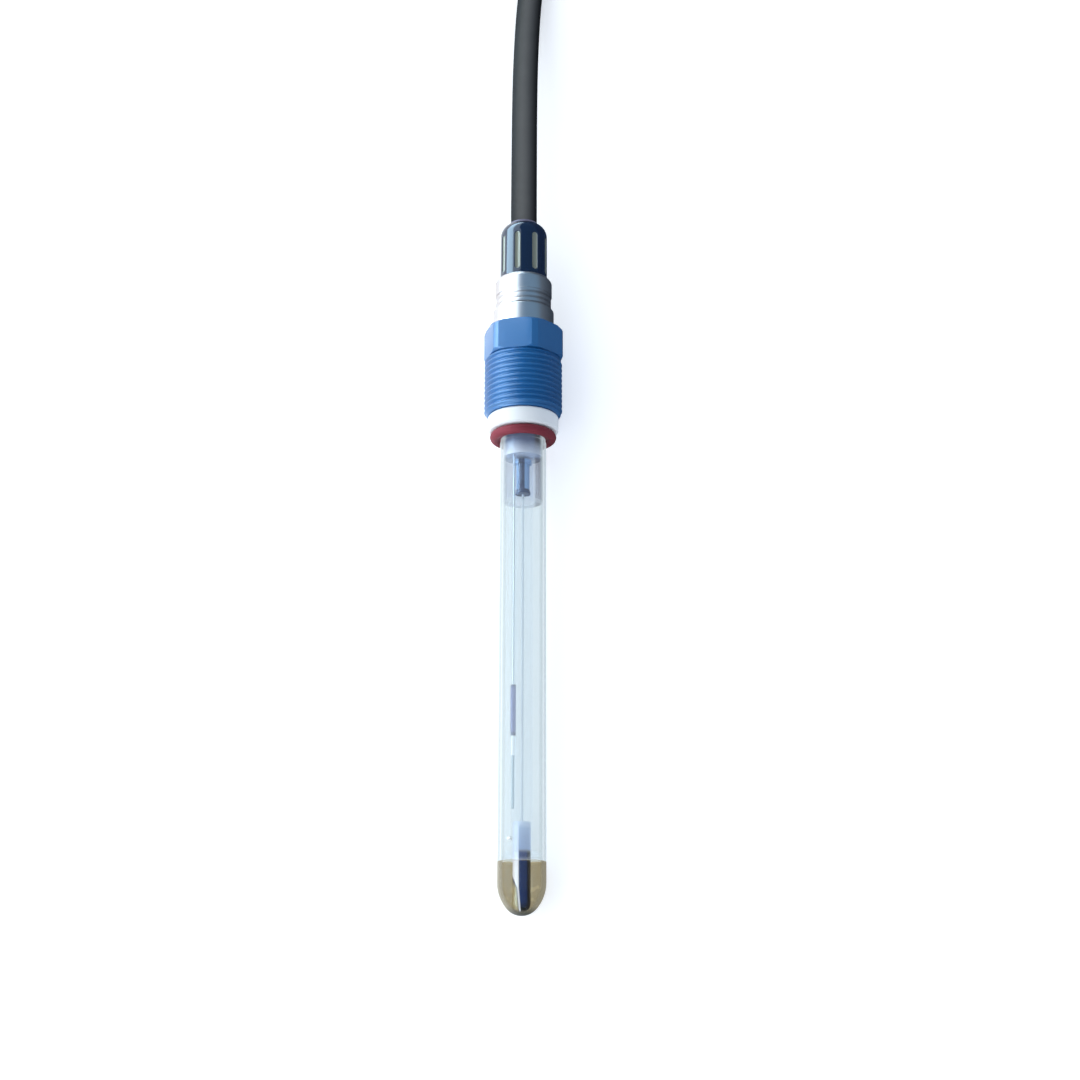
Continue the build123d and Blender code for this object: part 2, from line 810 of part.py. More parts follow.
with BuildPart() as bnc_boot:
    with BuildSketch(plug_profile):
        with BuildLine():
            Polyline(
                (cable_radius + fill_gap, 0),
                (boot_mouth_radius, 0),
                (boot_end_radius, boot_length),
                (ferrule_radius + fill_gap, boot_length),
                (ferrule_radius + fill_gap, boot_grip),
                (cable_radius + fill_gap, boot_grip),
                close=True,
            )
        make_face()
    revolve(axis=plug_axis)
bnc_boot.part.label = "bnc_boot"
export_step(bnc_boot.part, "parts/bnc_boot.step")

with BuildPart() as bnc_ferrule:
    with BuildSketch(plug_line.offset(boot_grip)):
        Circle(ferrule_radius)
        Circle(ferrule_bore, mode=Mode.SUBTRACT)
    extrude(amount=ferrule_length)
bnc_ferrule.part.label = "bnc_ferrule"
export_step(bnc_ferrule.part, "parts/bnc_ferrule.step")

with BuildPart() as bnc_body:
    with BuildSketch(plug_profile):
        with BuildLine():
            Polyline(
                (coax_pin_radius + fill_gap, boot_grip),
                (ferrule_bore - fill_gap, boot_grip),
                (ferrule_bore - fill_gap, ferrule_end),
                (flange_radius, ferrule_end),
                (flange_radius, flange_end),
                (bush_radius, flange_end),
                (bush_radius, hub_end),
                (sleeve_radius, hub_end),
                (sleeve_radius, sleeve_end),
                (sleeve_bore, sleeve_end),
                (sleeve_bore, hub_end),
                (insulator_radius + fill_gap, hub_end),
                (insulator_radius + fill_gap, ferrule_end),
                (coax_pin_radius + fill_gap, ferrule_end),
                close=True,
            )
        make_face()
    revolve(axis=plug_axis)
bnc_body.part.label = "bnc_body"
export_step(bnc_body.part, "parts/bnc_body.step")

with BuildPart() as bnc_insulator:
    with BuildSketch(plug_line.offset(ferrule_end + fill_gap)):
        Circle(insulator_radius)
        Circle(coax_pin_radius + fill_gap, mode=Mode.SUBTRACT)
    extrude(amount=sleeve_end - insulator_setback - ferrule_end - fill_gap)
bnc_insulator.part.label = "bnc_insulator"
export_step(bnc_insulator.part, "parts/bnc_insulator.step")

pin_end = sleeve_end - coax_pin_setback
with BuildPart() as bnc_pin:
    with BuildSketch(plug_profile):
        with BuildLine():
            Polyline(
                (0, boot_grip),
                (coax_pin_radius, boot_grip),
                (coax_pin_radius, pin_end - coax_pin_taper),
                (coax_pin_radius / 2, pin_end),
                (0, pin_end),
                close=True,
            )
        make_face()
    revolve(axis=plug_axis)
bnc_pin.part.label = "bnc_pin"
export_step(bnc_pin.part, "parts/bnc_pin.step")

with BuildPart() as bayonet_ring:
    with BuildSketch(plug_profile):
        with BuildLine():
            Polyline(
                (bush_radius + running_gap, bayonet_start),
                (bayonet_radius - bayonet_chamfer, bayonet_start),
                (bayonet_radius, bayonet_start + bayonet_chamfer),
                (bayonet_radius, bayonet_end - bayonet_chamfer),
                (bayonet_radius - bayonet_chamfer, bayonet_end),
                (bayonet_bore, bayonet_end),
                (bayonet_bore, hub_end),
                (bush_radius + running_gap, hub_end),
                close=True,
            )
        make_face()
    revolve(axis=plug_axis)
    with BuildSketch(plug_line.offset(bayonet_end)):
        Rectangle(cam_width, 4 * bayonet_radius)
    extrude(amount=-cam_depth, mode=Mode.SUBTRACT)
bayonet_ring.part.label = "bayonet_ring"
export_step(bayonet_ring.part, "parts/bayonet_ring.step")

print("tilt", round(math.degrees(tilt), 3), "tip", [round(value, 3) for value in tip])
print("cap top", round(cap_top, 2), "nut travel", nut_travel, "contact pin top", round(pin_top, 2))
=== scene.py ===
import json
import math

import bpy
from mathutils import Matrix, Vector


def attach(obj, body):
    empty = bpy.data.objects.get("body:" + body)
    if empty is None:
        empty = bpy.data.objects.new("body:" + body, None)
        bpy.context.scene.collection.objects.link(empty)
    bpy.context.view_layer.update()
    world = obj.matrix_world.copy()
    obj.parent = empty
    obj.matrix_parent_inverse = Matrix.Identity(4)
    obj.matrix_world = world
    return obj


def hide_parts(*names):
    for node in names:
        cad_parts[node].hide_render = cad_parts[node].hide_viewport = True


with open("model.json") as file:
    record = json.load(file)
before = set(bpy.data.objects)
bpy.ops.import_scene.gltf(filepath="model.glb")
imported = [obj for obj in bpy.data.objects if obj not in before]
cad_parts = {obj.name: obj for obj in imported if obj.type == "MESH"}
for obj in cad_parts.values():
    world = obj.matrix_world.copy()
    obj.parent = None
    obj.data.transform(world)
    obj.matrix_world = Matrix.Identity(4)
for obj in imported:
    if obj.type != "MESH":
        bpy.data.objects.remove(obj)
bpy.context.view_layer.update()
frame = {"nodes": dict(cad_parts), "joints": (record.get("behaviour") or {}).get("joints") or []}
nodes = frame["nodes"]
joints = {joint["name"]: joint for joint in frame["joints"]}
mm = 0.001

# The electrode's own axis, read from the frame. Heights are millimetres from the bulb's tip.
collarHeight = 125.15  # where the collar turns
along = Vector(joints["collar_turn"]["axis"]).normalized()
right = Vector((1, 0, 0))
away = right.cross(along)  # up from the floor, square to the axis
tip = Vector(joints["collar_turn"]["pos_m"]) - along * collarHeight * mm
lying = Matrix.Translation(tip) @ Matrix((right, -away, along)).transposed().to_4x4()


def onAxis(height):
    return tip + along * height * mm


# Shader maths


class Signal:
    def __init__(self, finish, socket):
        self.finish = finish
        self.socket = socket

    def maths(self, operation, *others):
        return self.finish.node("ShaderNodeMath", {"operation": operation}, dict(enumerate((self, *others))))

    def __add__(self, other):
        return self.maths("ADD", other)

    def __mul__(self, other):
        return self.maths("MULTIPLY", other)

    def __sub__(self, other):
        return self.maths("SUBTRACT", other)

    def __rsub__(self, other):
        return self.finish.node("ShaderNodeMath", {"operation": "SUBTRACT"}, {0: other, 1: self})

    def __truediv__(self, other):
        return self.maths("DIVIDE", other)

    def __pow__(self, other):
        return self.maths("POWER", other)

    __radd__ = __add__
    __rmul__ = __mul__


class Finish:
    def __init__(self, name, owners=None):
        # a material's nodes, or the room's
        self.owner = (bpy.data.materials if owners is None else owners).new(name)
        self.owner.use_nodes = True
        self.tree = self.owner.node_tree
        self.tree.nodes.clear()

    def node(self, kind, settings=None, inputs=None, output=0):
        made = self.tree.nodes.new(kind)
        for key, value in (settings or {}).items():
            if key == "stops":
                self.setStops(made.color_ramp, value)
            else:
                setattr(made, key, value)
        for key, value in (inputs or {}).items():
            if isinstance(value, Signal):
                self.tree.links.new(value.socket, made.inputs[key])
            else:
                made.inputs[key].default_value = value
        return Signal(self, made.outputs[output])

    def setStops(self, ramp, stops):
        while len(ramp.elements) < len(stops):
            ramp.elements.new(0.5)
        for element, (place, colour) in zip(ramp.elements, stops):
            element.position = place
            element.color = colour if len(colour) == 4 else (*colour, 1)

    def place(self):
        return self.node("ShaderNodeTexCoord", output="Object")

    def parts(self, vector):
        split = self.tree.nodes.new("ShaderNodeSeparateXYZ")
        self.tree.links.new(vector.socket, split.inputs[0])
        return [Signal(self, split.outputs[axis]) for axis in "XYZ"]

    def height(self):
        # millimetres along the electrode from its tip
        x, y, z = self.parts(self.place())
        return ((y - tip.y) * along.y + (z - tip.z) * along.z) / mm

    def side(self):
        # millimetres to the right of the axis
        return self.parts(self.place())[0] / mm

    def lift(self):
        # millimetres above the axis, towards the camera
        x, y, z = self.parts(self.place())
        return ((y - tip.y) * away.y + (z - tip.z) * away.z) / mm

    def noise(self, scale, detail=2.0, roughness=0.5, stretch=None):
        vector = self.place()
        if stretch:
            vector = self.node("ShaderNodeMapping", None, {"Vector": vector, "Scale": stretch})
        return self.node("ShaderNodeTexNoise", None, {
            "Vector": vector, "Scale": scale, "Detail": detail, "Roughness": roughness})

    def ramp(self, fac, stops):
        return self.node("ShaderNodeValToRGB", {"stops": stops}, {"Fac": fac})

    def mix(self, fac, first, second):
        return self.node("ShaderNodeMix", {"data_type": "RGBA"}, {0: fac, 6: first, 7: second}, output=2)

    def clamp(self, value, low=0.0, high=1.0):
        return self.node("ShaderNodeClamp", None, {"Value": value, "Min": low, "Max": high})

    def band(self, value, low, high, soft):
        # 1 between low and high, with soft ends
        up = self.clamp((value - low) / soft + 0.5)
        down = self.clamp((high - value) / soft + 0.5)
        return up * down

    def bump(self, height, strength, distance):
        return self.node("ShaderNodeBump", None, {"Strength": strength, "Distance": distance, "Height": height})

    def plastic(self, **inputs):
        named = {key.replace("_", " "): value for key, value in inputs.items()}
        return self.node("ShaderNodeBsdfPrincipled", None, named)

    def facing(self):
        # 0 where the surface faces the eye, 1 at its edges
        return self.node("ShaderNodeLayerWeight", None, {"Blend": 0.5}, output="Facing")

    def radius(self):
        # millimetres from the electrode's axis
        side, lift = self.side(), self.lift()
        return (side * side + lift * lift) ** 0.5

    def overlay(self, cover, under, over):
        return self.node("ShaderNodeMixShader", None, {0: cover, 1: under, 2: over})

    def clear(self, tint):
        return self.node("ShaderNodeBsdfTransparent", None, {"Color": tint})

    def show(self, shader, kind="ShaderNodeOutputMaterial"):
        surface = self.tree.nodes.new(kind)
        self.tree.links.new(shader.socket, surface.inputs["Surface"])
        return self.owner


def rgb(*colour):
    # screen colour, 0 to 255, as the linear values that a shader takes
    linear = [((c / 255 + 0.055) / 1.055) ** 2.4 if c > 10 else c / 255 / 12.92 for c in colour]
    return (*linear, 1.0)


def dimmed(colour, share):
    return tuple(share * c for c in colour[:3]) + (1,)


def paint(obj, finish):
    obj.data.materials.clear()
    obj.data.materials.append(finishes[finish])


# Finishes


def clearGlass(name, tint, edge, veil, wall=5.6, rim=0.42, shine=0.25, depth=0.4, glow=0.6, foot=None):
    # clear wall: see-through in front; towards its edges it takes on the tint of what it holds, and that tint
    # is also emitted as a painted glow.
    # The mirror share is carried as metal, so that it adds to what is seen through the wall.
    f = Finish(name)
    facing = f.facing()
    outside = f.clamp((f.radius() - wall) / 0.1)
    smear = f.noise(90, 3)
    mirror = (0.04 + 0.8 * facing ** 5.0) * shine * (outside * 0.85 + 0.15)
    cover = f.clamp(mirror + edge * f.clamp((facing - rim) * 5.0) + veil + smear * 0.02)
    share = mirror / cover
    deep = dimmed(tint, depth)
    # painted shade: with a foot colour given, the wall is painted darker towards the very tip
    if foot:
        low = f.clamp((2.2 - f.height()) / 1.8)
        deep = f.mix(low, deep, dimmed(foot, depth))
        tint = f.mix(low, tint, foot)
    # painted glow: the wall emits its tint
    wallSurface = f.plastic(Base_Color=f.mix(share, deep, (1, 1, 1, 1)), Metallic=share,
                            Roughness=smear * 0.03 + 0.02, Emission_Color=tint, Emission_Strength=glow)
    return f.show(f.overlay(cover, f.clear((0.995, 0.999, 1.0, 1)), wallSurface))


def filling(name, first, second, tint, veils, hole, roughness, depth, glow, extra=None, seal=None):
    # liquid or gel in the glass: its own colour as a veil, thicker on the floor's side than on top,
    # and none on the walls of the hole that its inner pieces fill
    f = Finish(name)
    outer = f.clamp((f.radius() - hole) / 0.3)
    low = f.clamp(0.5 - f.lift() / 2.4)
    cloud = f.noise(110, 4, 0.6, (1, 0.4, 1))
    colour = f.mix(cloud, first, second)
    if extra:
        colour = extra(f, colour)
    top, bottom, edge = veils
    if seal:
        # clear just above the ring seal, where the filling runs out to nothing
        top = top * f.clamp((f.height() - seal) / 0.8)
    veil = f.clamp(outer * (top + (bottom - top) * low + edge * f.facing() ** 3.0) * (0.9 + cloud * 0.2))
    # painted glow: part of the colour is emitted, standing in for light that wanders in the filling and evens
    # it out; less comes from its surface
    body = f.plastic(Base_Color=f.mix(depth, (0, 0, 0, 1), colour), Roughness=roughness, IOR=1.34,
                     Emission_Color=colour, Emission_Strength=glow)
    return f.show(f.overlay(veil, f.clear(tint), body))


def fleckedWithTipShade(f, colour):
    # pale crumbs in the bulb's liquid, and painted shade that darkens it at the very tip
    crumbs = f.ramp(f.noise(420, 1, 0.4, (1, 1.6, 1)), [(0.6, (0, 0, 0)), (0.67, (1, 1, 1))])
    # painted shade towards the tip
    liquid = f.mix(f.clamp((2.6 - f.height()) / 2.2), colour, rgb(66, 68, 58))
    return f.mix(f.clamp(f.parts(crumbs)[0] * 0.6), liquid, rgb(214, 204, 168))


def shadedSide(f, colour):
    # painted shade: the stopper is darker down its right side
    return f.mix(f.clamp((f.side() - 2.9) / 0.5), colour, rgb(118, 120, 136))


barLook = {
    "highlightMiddle": -1.47,  # the painted highlight strip, in millimetres from the bar's middle
    "highlightWidth": 0.76,
    "glintMiddle": -0.85,  # the painted glint line that it narrows to
    "glintWidth": 0.2,
    "taperAt": 9.5,  # height where the narrowing starts
    "taperLength": 3.0,
    "leanAt": 6.5,  # below this the painted glint leans to the right
    "lean": 0.09,
    "edgeShadeAt": 1.1,  # painted shade along the right edge
    # painted shade towards the tip starts below this
    "footShadeAt": 3.2,
    "gelAt": 15.3,
    "endAt": 20.6,
    "sealAt": 13.4,
}


def leadOffBar():
    # dark blue bar with a painted highlight down its left, which narrows to a painted glint line towards the
    # tip, painted shade down its right edge and at its foot, and a faint painted glow; the gel above the seal
    # pales it
    f = Finish("leadOffBar")
    b = barLook
    drift = f.noise(120, 3)
    side, height = f.side(), f.height()
    taper = f.clamp((b["taperAt"] - height) / b["taperLength"])
    lean = b["lean"] * f.clamp(b["leanAt"] - height, 0.0, 10.0)
    middle = (b["glintMiddle"] - b["highlightMiddle"]) * taper + b["highlightMiddle"] + lean
    width = b["highlightWidth"] - (b["highlightWidth"] - b["glintWidth"]) * taper
    offset = (side - middle).maths("ABSOLUTE")
    # mask of the painted highlight strip and glint
    pale = f.clamp((width - offset) / 0.14 + 0.5)
    beside = f.clamp((middle - width - side) / 0.5 + 0.2) * taper
    navy = f.mix(drift, rgb(4, 32, 88), rgb(12, 46, 108))
    # painted shade down the right edge
    navy = f.mix(f.clamp((side - b["edgeShadeAt"]) / 0.5), navy, rgb(3, 8, 24))
    # painted shade towards the tip
    navy = f.mix(f.clamp((b["footShadeAt"] - height) / 1.6), navy, rgb(10, 18, 26))
    inGel = f.mix(f.clamp((height - 15.0) / 7.4), rgb(84, 124, 184), rgb(150, 176, 214))
    inGel = f.mix(f.clamp((height - b["endAt"]) / 1.8), inGel, rgb(202, 218, 236))
    navy = f.mix(f.clamp((height - b["gelAt"]) / 0.5), navy, inGel)
    # the painted highlight's colour
    strip = f.mix(f.clamp((height - b["sealAt"]) / 3.0), rgb(216, 218, 238), rgb(204, 214, 234))
    tone = f.mix(pale, f.mix(beside, navy, rgb(150, 138, 108)), strip)
    # a faint painted glow: the bar emits its own colour
    return f.show(f.plastic(Base_Color=tone, Roughness=0.2 + drift * 0.08, Emission_Color=tone,
                            Emission_Strength=0.1, Coat_Weight=0.15, Coat_Roughness=0.05))


cartridgeLook = {"neckEnd": 43.2, "rimStart": 44.2, "rimEnd": 55.0}


def cartridgeTube():
    # grey violet tube with darker ends and a white neck
    f = Finish("cartridgeTube")
    c = cartridgeLook
    height = f.height()
    cloud = f.noise(200, 3)
    rims = f.clamp((c["rimStart"] - height) / 0.6) + f.clamp((height - c["rimEnd"]) / 0.6)
    tube = f.mix(cloud, rgb(96, 104, 156), rgb(116, 124, 172))
    tube = f.mix(f.clamp(rims), tube, rgb(70, 72, 100))
    tone = f.mix(f.clamp((c["neckEnd"] - height) / 0.2), tube, rgb(244, 250, 252))
    # a faint painted glow: the tube emits its own colour
    return f.show(f.plastic(Base_Color=tone, Roughness=0.3 + cloud * 0.1, Emission_Color=tone,
                            Emission_Strength=0.1))


def pottingResin():
    # grey blue resin, paler at its foot where it meets the stopper, with painted shade darker down its right
    # side
    f = Finish("pottingResin")
    cloud = f.noise(240, 4, 0.6)
    depth = f.clamp((f.height() - 116.2) / 3.4 + (cloud - 0.5) * 0.5)
    # painted shade down the right side
    resin = f.mix(f.clamp((f.side() - 2.6) / 0.8), rgb(92, 106, 142), rgb(72, 72, 84))
    tone = f.mix(depth, rgb(204, 212, 228), resin)
    return f.show(f.plastic(Base_Color=tone, Roughness=0.3 + cloud * 0.1, Normal=f.bump(cloud, 0.1, 0.0001)))


def moulded(name, dark, light, roughness, coat=0.0, satin=0.06):
    # injection moulded plastic: slight colour drift, fine spark-eroded grain
    f = Finish(name)
    drift = f.noise(70, 3)
    fine = f.noise(1400, 2)
    return f.show(f.plastic(
        Base_Color=f.mix(drift, dark, light),
        Roughness=roughness + drift * 0.08 + fine * 0.05,
        Coat_Weight=coat, Coat_Roughness=satin,
        Normal=f.bump(fine, 0.08, 0.00004),
    ))


insertLook = {"stripLeft": -1.1, "stripRight": 0.3, "lipEnd": 107.2}
inlayLook = {"radius": 6.06, "start": 167.0, "end": 178.3}


def stemInsert():
    # the stem's stopper: a dark strip left of its middle, paler at both sides, dark again at its lip
    f = Finish("stemInsert")
    i = insertLook
    cloud = f.noise(160, 3)
    side = f.side()
    flanks = f.clamp((side - i["stripRight"]) / 0.3) + f.clamp((i["stripLeft"] - side) / 0.2)
    pale = f.clamp(flanks) * f.clamp((f.height() - i["lipEnd"]) / 0.4)
    tone = f.mix(pale, rgb(0, 22, 66), rgb(150, 184, 218))
    tone = f.mix(cloud * 0.2, tone, rgb(90, 120, 170))
    return f.show(f.plastic(Base_Color=tone, Roughness=0.22 + cloud * 0.1,
                            Coat_Weight=0.2, Coat_Roughness=0.05))


def capPlastic():
    # glossy navy, with a paler inlay in the bottoms of the flutes
    f = Finish("capPlastic")
    i = inlayLook
    drift = f.noise(70, 3)
    fine = f.noise(1400, 2)
    inlay = f.clamp((i["radius"] - f.radius()) / 0.06) * f.band(f.height(), i["start"], i["end"], 0.2)
    navy = f.mix(drift, rgb(3, 20, 50), rgb(6, 30, 66))
    pale = f.mix(drift, rgb(130, 134, 120), rgb(150, 154, 138))
    return f.show(f.plastic(
        Base_Color=f.mix(inlay, navy, pale),
        Roughness=0.1 + drift * 0.06 + inlay * 0.2,
        Specular_IOR_Level=0.4, Coat_Weight=0.5, Coat_Roughness=0.04,
        Normal=f.bump(fine, 0.04, 0.00004),
    ))


def turnedMetal(name, colour, roughness):
    # fine rings left by the lathe, all round the axis, 0.05 mm apart
    f = Finish(name)
    rings = f.noise(20000, 1, 0.5, (0.02, 1, 0.02))
    stain = f.noise(120, 3)
    return f.show(f.plastic(
        Base_Color=f.mix(stain, colour, dimmed(colour, 0.86)),
        Metallic=1.0,
        Roughness=roughness + rings * 0.1 + stain * 0.06,
        Normal=f.bump(rings, 0.12, 0.00002),
    ))


def cableJacket():
    # matt jacket, with painted light: paler along its top and darker down its sides, broken up a little by
    # noise
    f = Finish("cableJacket")
    dust = f.noise(180, 4, 0.65)
    fine = f.noise(2400, 2)
    # painted light: the more the surface faces up, the paler it is painted
    up = f.clamp(f.parts(f.node("ShaderNodeNewGeometry", output="Normal"))[2])
    tone = f.mix(f.clamp(up ** 4.0 * (0.85 + dust * 0.3)), rgb(22, 23, 24), rgb(96, 97, 97))
    return f.show(f.plastic(Base_Color=tone, Roughness=0.7 + dust * 0.12, Specular_IOR_Level=0.12,
                            Normal=f.bump(fine, 0.15, 0.00003)))


def rubberFinish(name, dark, light, roughness, shine=0.5):
    f = Finish(name)
    dust = f.noise(180, 4, 0.65)
    fine = f.noise(2400, 2)
    return f.show(f.plastic(
        Base_Color=f.mix(dust, dark, light),
        Roughness=roughness + dust * 0.12,
        Specular_IOR_Level=shine,
        Normal=f.bump(fine, 0.15, 0.00003),
    ))


finishes = {
    "glass": clearGlass("shaftGlass", rgb(212, 228, 236), 0.55, 0.02, depth=0.08, glow=0.66),
    # membrane: the foot colour is painted shade at the tip, and glow is a painted glow
    "membrane": clearGlass("membraneGlass", rgb(150, 143, 120), 0.95, 0.01, wall=5.7, rim=0.38,
                           depth=0.2, glow=0.72, foot=rgb(66, 68, 58)),
    "stemGlass": clearGlass("stemGlass", rgb(220, 228, 242), 0.08, 0.015, wall=2.45, shine=0.05),
    "gel": filling("gelFilling", rgb(218, 233, 240), rgb(226, 238, 243), (0.98, 0.99, 1.0, 1),
                   (0.28, 0.86, 0.3), 4.7, 0.5, depth=0.16, glow=0.8, seal=14.5),
    "buffer": filling("bufferFilling", rgb(162, 152, 124), rgb(186, 176, 148), (0.97, 0.96, 0.92, 1),
                      (0.0, 0.95, 0.3), 2.35, 0.35, depth=0.7, glow=0.48, extra=fleckedWithTipShade),
    "stopper": filling("stopperFilling", rgb(196, 208, 224), rgb(220, 228, 238), (0.95, 0.97, 1.0, 1),
                       (0.02, 0.66, 0.6), 2.75, 0.35, depth=0.4, glow=0.35, extra=shadedSide),
    "dark": leadOffBar(),
    "insert": stemInsert(),
    "cartridge": cartridgeTube(),
    "sleevedWire": moulded("sleevedWire", rgb(206, 216, 224), rgb(220, 228, 234), 0.4),
    "capillary": moulded("capillaryTube", rgb(172, 192, 202), rgb(188, 204, 212), 0.25),
    "wire": turnedMetal("silverWire", (0.6, 0.6, 0.6, 1), 0.3),
    "ceramic": moulded("junctionCeramic", rgb(236, 238, 236), rgb(252, 252, 250), 0.6),
    "ring": rubberFinish("ringRubber", rgb(106, 36, 46), rgb(140, 50, 64), 0.5, shine=0.25),
    "collar": moulded("collarPlastic", rgb(228, 234, 238), rgb(246, 249, 250), 0.45),
    "head": moulded("headPlastic", rgb(4, 86, 146), rgb(10, 102, 162), 0.4, coat=0.8, satin=0.26),
    "steel": turnedMetal("turnedSteel", (0.72, 0.66, 0.64, 1), 0.24),
    "potting": pottingResin(),
    "insulator": moulded("insulatorPlastic", rgb(222, 216, 204), rgb(236, 232, 222), 0.4),
    "contact": turnedMetal("contactMetal", (0.83, 0.62, 0.28, 1), 0.22),
    "cap": capPlastic(),
    "seal": rubberFinish("sealRubber", rgb(96, 92, 112), rgb(120, 116, 138), 0.5),
    "cable": cableJacket(),
    "strap": rubberFinish("strapBlack", rgb(20, 20, 22), rgb(34, 34, 36), 0.55),
    "boot": rubberFinish("bootRubber", rgb(22, 23, 25), rgb(40, 41, 44), 0.5),
    "nickel": turnedMetal("nickelPlate", (0.66, 0.64, 0.6, 1), 0.2),
}
print("finishes made:", len(finishes))

paints = {
    "glass": ["glass_shaft"],
    "membrane": ["ph_membrane"],
    "stemGlass": ["inner_stem"],
    "gel": ["reference_gel"],
    "buffer": ["inner_buffer"],
    "stopper": ["shaft_stopper"],
    "dark": ["lead_off_element"],
    "insert": ["stem_plug"],
    "cartridge": ["reference_cartridge"],
    "capillary": ["reference_capillary"],
    "sleevedWire": ["lead_off_wire"],
    "wire": ["reference_wire", "signal_lead"],
    "ceramic": ["ceramic_junction"],
    "ring": ["o_ring"],
    "collar": ["thrust_collar"],
    "head": ["threaded_head"],
    "steel": ["head_socket", "coupling_nut"],
    "potting": ["head_potting"],
    "insulator": ["contact_insulator", "plug_core", "bnc_insulator"],
    "contact": ["contact_pin", "socket_contact", "bnc_pin", "cable_clamp"],
    "cap": ["plug_cap"],
    "seal": ["cable_seal"],
    "cable": ["cable", "cable_hank", "cable_tail"],
    "strap": ["hank_ties"],
    "boot": ["bnc_boot"],
    "nickel": ["bnc_ferrule", "bnc_body", "bayonet_ring"],
}
for finish, members in paints.items():
    for member in members:
        paint(nodes[member], finish)

# Modelling helpers. A piece is made upright about the Z axis, in millimetres along the electrode,
# and then laid down with it.


def pick(obj):
    bpy.ops.object.select_all(action="DESELECT")
    obj.select_set(True)
    bpy.context.view_layer.objects.active = obj


def modify(obj, kind, **settings):
    pick(obj)
    modifier = obj.modifiers.new(kind.lower(), kind)
    for key, value in settings.items():
        setattr(modifier, key, value)
    bpy.ops.object.modifier_apply(modifier=modifier.name)


def soften(obj, width, angle=30, segments=3):
    modify(obj, "BEVEL", width=width * mm, segments=segments, limit_method="ANGLE",
           angle_limit=math.radians(angle), use_clamp_overlap=True)


def combine(obj, other, operation):
    modify(obj, "BOOLEAN", object=other, operation=operation, solver="EXACT")
    bpy.data.objects.remove(other)


def settle(obj):
    # the object's place goes into its mesh
    obj.data.transform(obj.matrix_world)
    obj.matrix_world = Matrix.Identity(4)


def drawn(name, profile):
    # one vertex, drawn out along (radius, height) points
    bpy.ops.object.select_all(action="DESELECT")
    bpy.ops.mesh.primitive_plane_add(size=mm)
    obj = bpy.context.object
    obj.name = name
    bpy.ops.object.mode_set(mode="EDIT")
    bpy.ops.mesh.select_all(action="SELECT")
    bpy.ops.mesh.merge(type="CENTER")
    here = Vector((profile[0][0], 0, profile[0][1])) * mm
    bpy.ops.transform.translate(value=here)
    for radius, height in profile[1:]:
        there = Vector((radius, 0, height)) * mm
        bpy.ops.mesh.extrude_vertices_move(TRANSFORM_OT_translate={"value": there - here})
        here = there
    bpy.ops.object.mode_set(mode="OBJECT")
    return obj


def turned(name, profile, steps=96):
    # a drawn profile, spun about the axis like a turned part
    obj = drawn(name, profile)
    bpy.ops.object.mode_set(mode="EDIT")
    bpy.ops.mesh.select_all(action="SELECT")
    bpy.ops.mesh.spin(steps=steps, angle=2 * math.pi, center=(0, 0, 0), axis=(0, 0, 1))
    bpy.ops.mesh.select_all(action="SELECT")
    bpy.ops.mesh.remove_doubles(threshold=0.004 * mm)
    bpy.ops.mesh.normals_make_consistent(inside=False)
    bpy.ops.object.mode_set(mode="OBJECT")
    return obj


def arc(centre, radius, start, end, count=12):
    # profile points round an arc, angles in degrees
    points = []
    for index in range(count + 1):
        angle = math.radians(start + (end - start) * index / count)
        points.append((centre[0] + radius * math.cos(angle), centre[1] + radius * math.sin(angle)))
    return points


def threadRod(name, sizes, steps=96):
    # one pitch of the outline, wound up by Screw and cut square at both ends
    outline = []
    for share, depth in sizes["outline"]:
        outline.append((sizes["crest"] - depth * sizes["depth"], share * sizes["pitch"]))
    obj = drawn(name, outline)
    turns = math.ceil((sizes["end"] - sizes["start"]) / sizes["pitch"]) + 2
    obj.data.transform(Matrix.Translation((0, 0, (sizes["start"] - 1.37 * sizes["pitch"]) * mm)))
    modify(obj, "SCREW", angle=2 * math.pi, screw_offset=sizes["pitch"] * mm, iterations=turns, steps=steps,
           render_steps=steps, use_merge_vertices=True, merge_threshold=0.002 * mm, use_smooth_shade=False)
    bpy.ops.object.mode_set(mode="EDIT")
    bpy.ops.mesh.select_all(action="SELECT")
    bpy.ops.mesh.remove_doubles(threshold=0.002 * mm)
    for height, lower in ((sizes["start"], True), (sizes["end"], False)):
        bpy.ops.mesh.select_all(action="SELECT")
        bpy.ops.mesh.bisect(plane_co=(0, 0, height * mm), plane_no=(0, 0, 1), use_fill=True,
                            clear_inner=lower, clear_outer=not lower, threshold=0.0001 * mm)
    bpy.ops.mesh.select_all(action="SELECT")
    bpy.ops.mesh.normals_make_consistent(inside=False)
    bpy.ops.object.mode_set(mode="OBJECT")
    return obj


def finishPiece(obj, node, body, finish, smooth=30, frameMatrix=None):
    # laid into the electrode's frame, painted, put on its body in place of its solid
    settle(obj)
    obj.data.transform(frameMatrix or lying)
    pick(obj)
    bpy.ops.object.shade_smooth_by_angle(angle=math.radians(smooth))
    paint(obj, finish)
    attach(obj, body)
    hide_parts(node)
    print("made", obj.name, len(obj.data.polygons))
    return obj


# Glass

glassSizes = {
    "radius": 6.0,
    "bore": 5.1,
    "neck": 5.8,
    "start": 12.9,
    "stepAt": 120.0,
    "end": 139.4,
    "bulbLength": 8.0,
    "nose": 4.8,
    "bulbWall": 0.5,
    "polish": 0.12,  # fire-polished ends: a small round on every rim
    "steps": 128,
}
stemSizes = {"radius": 2.6, "wall": 0.3, "top": 116.0, "polish": 0.1, "steps": 72}


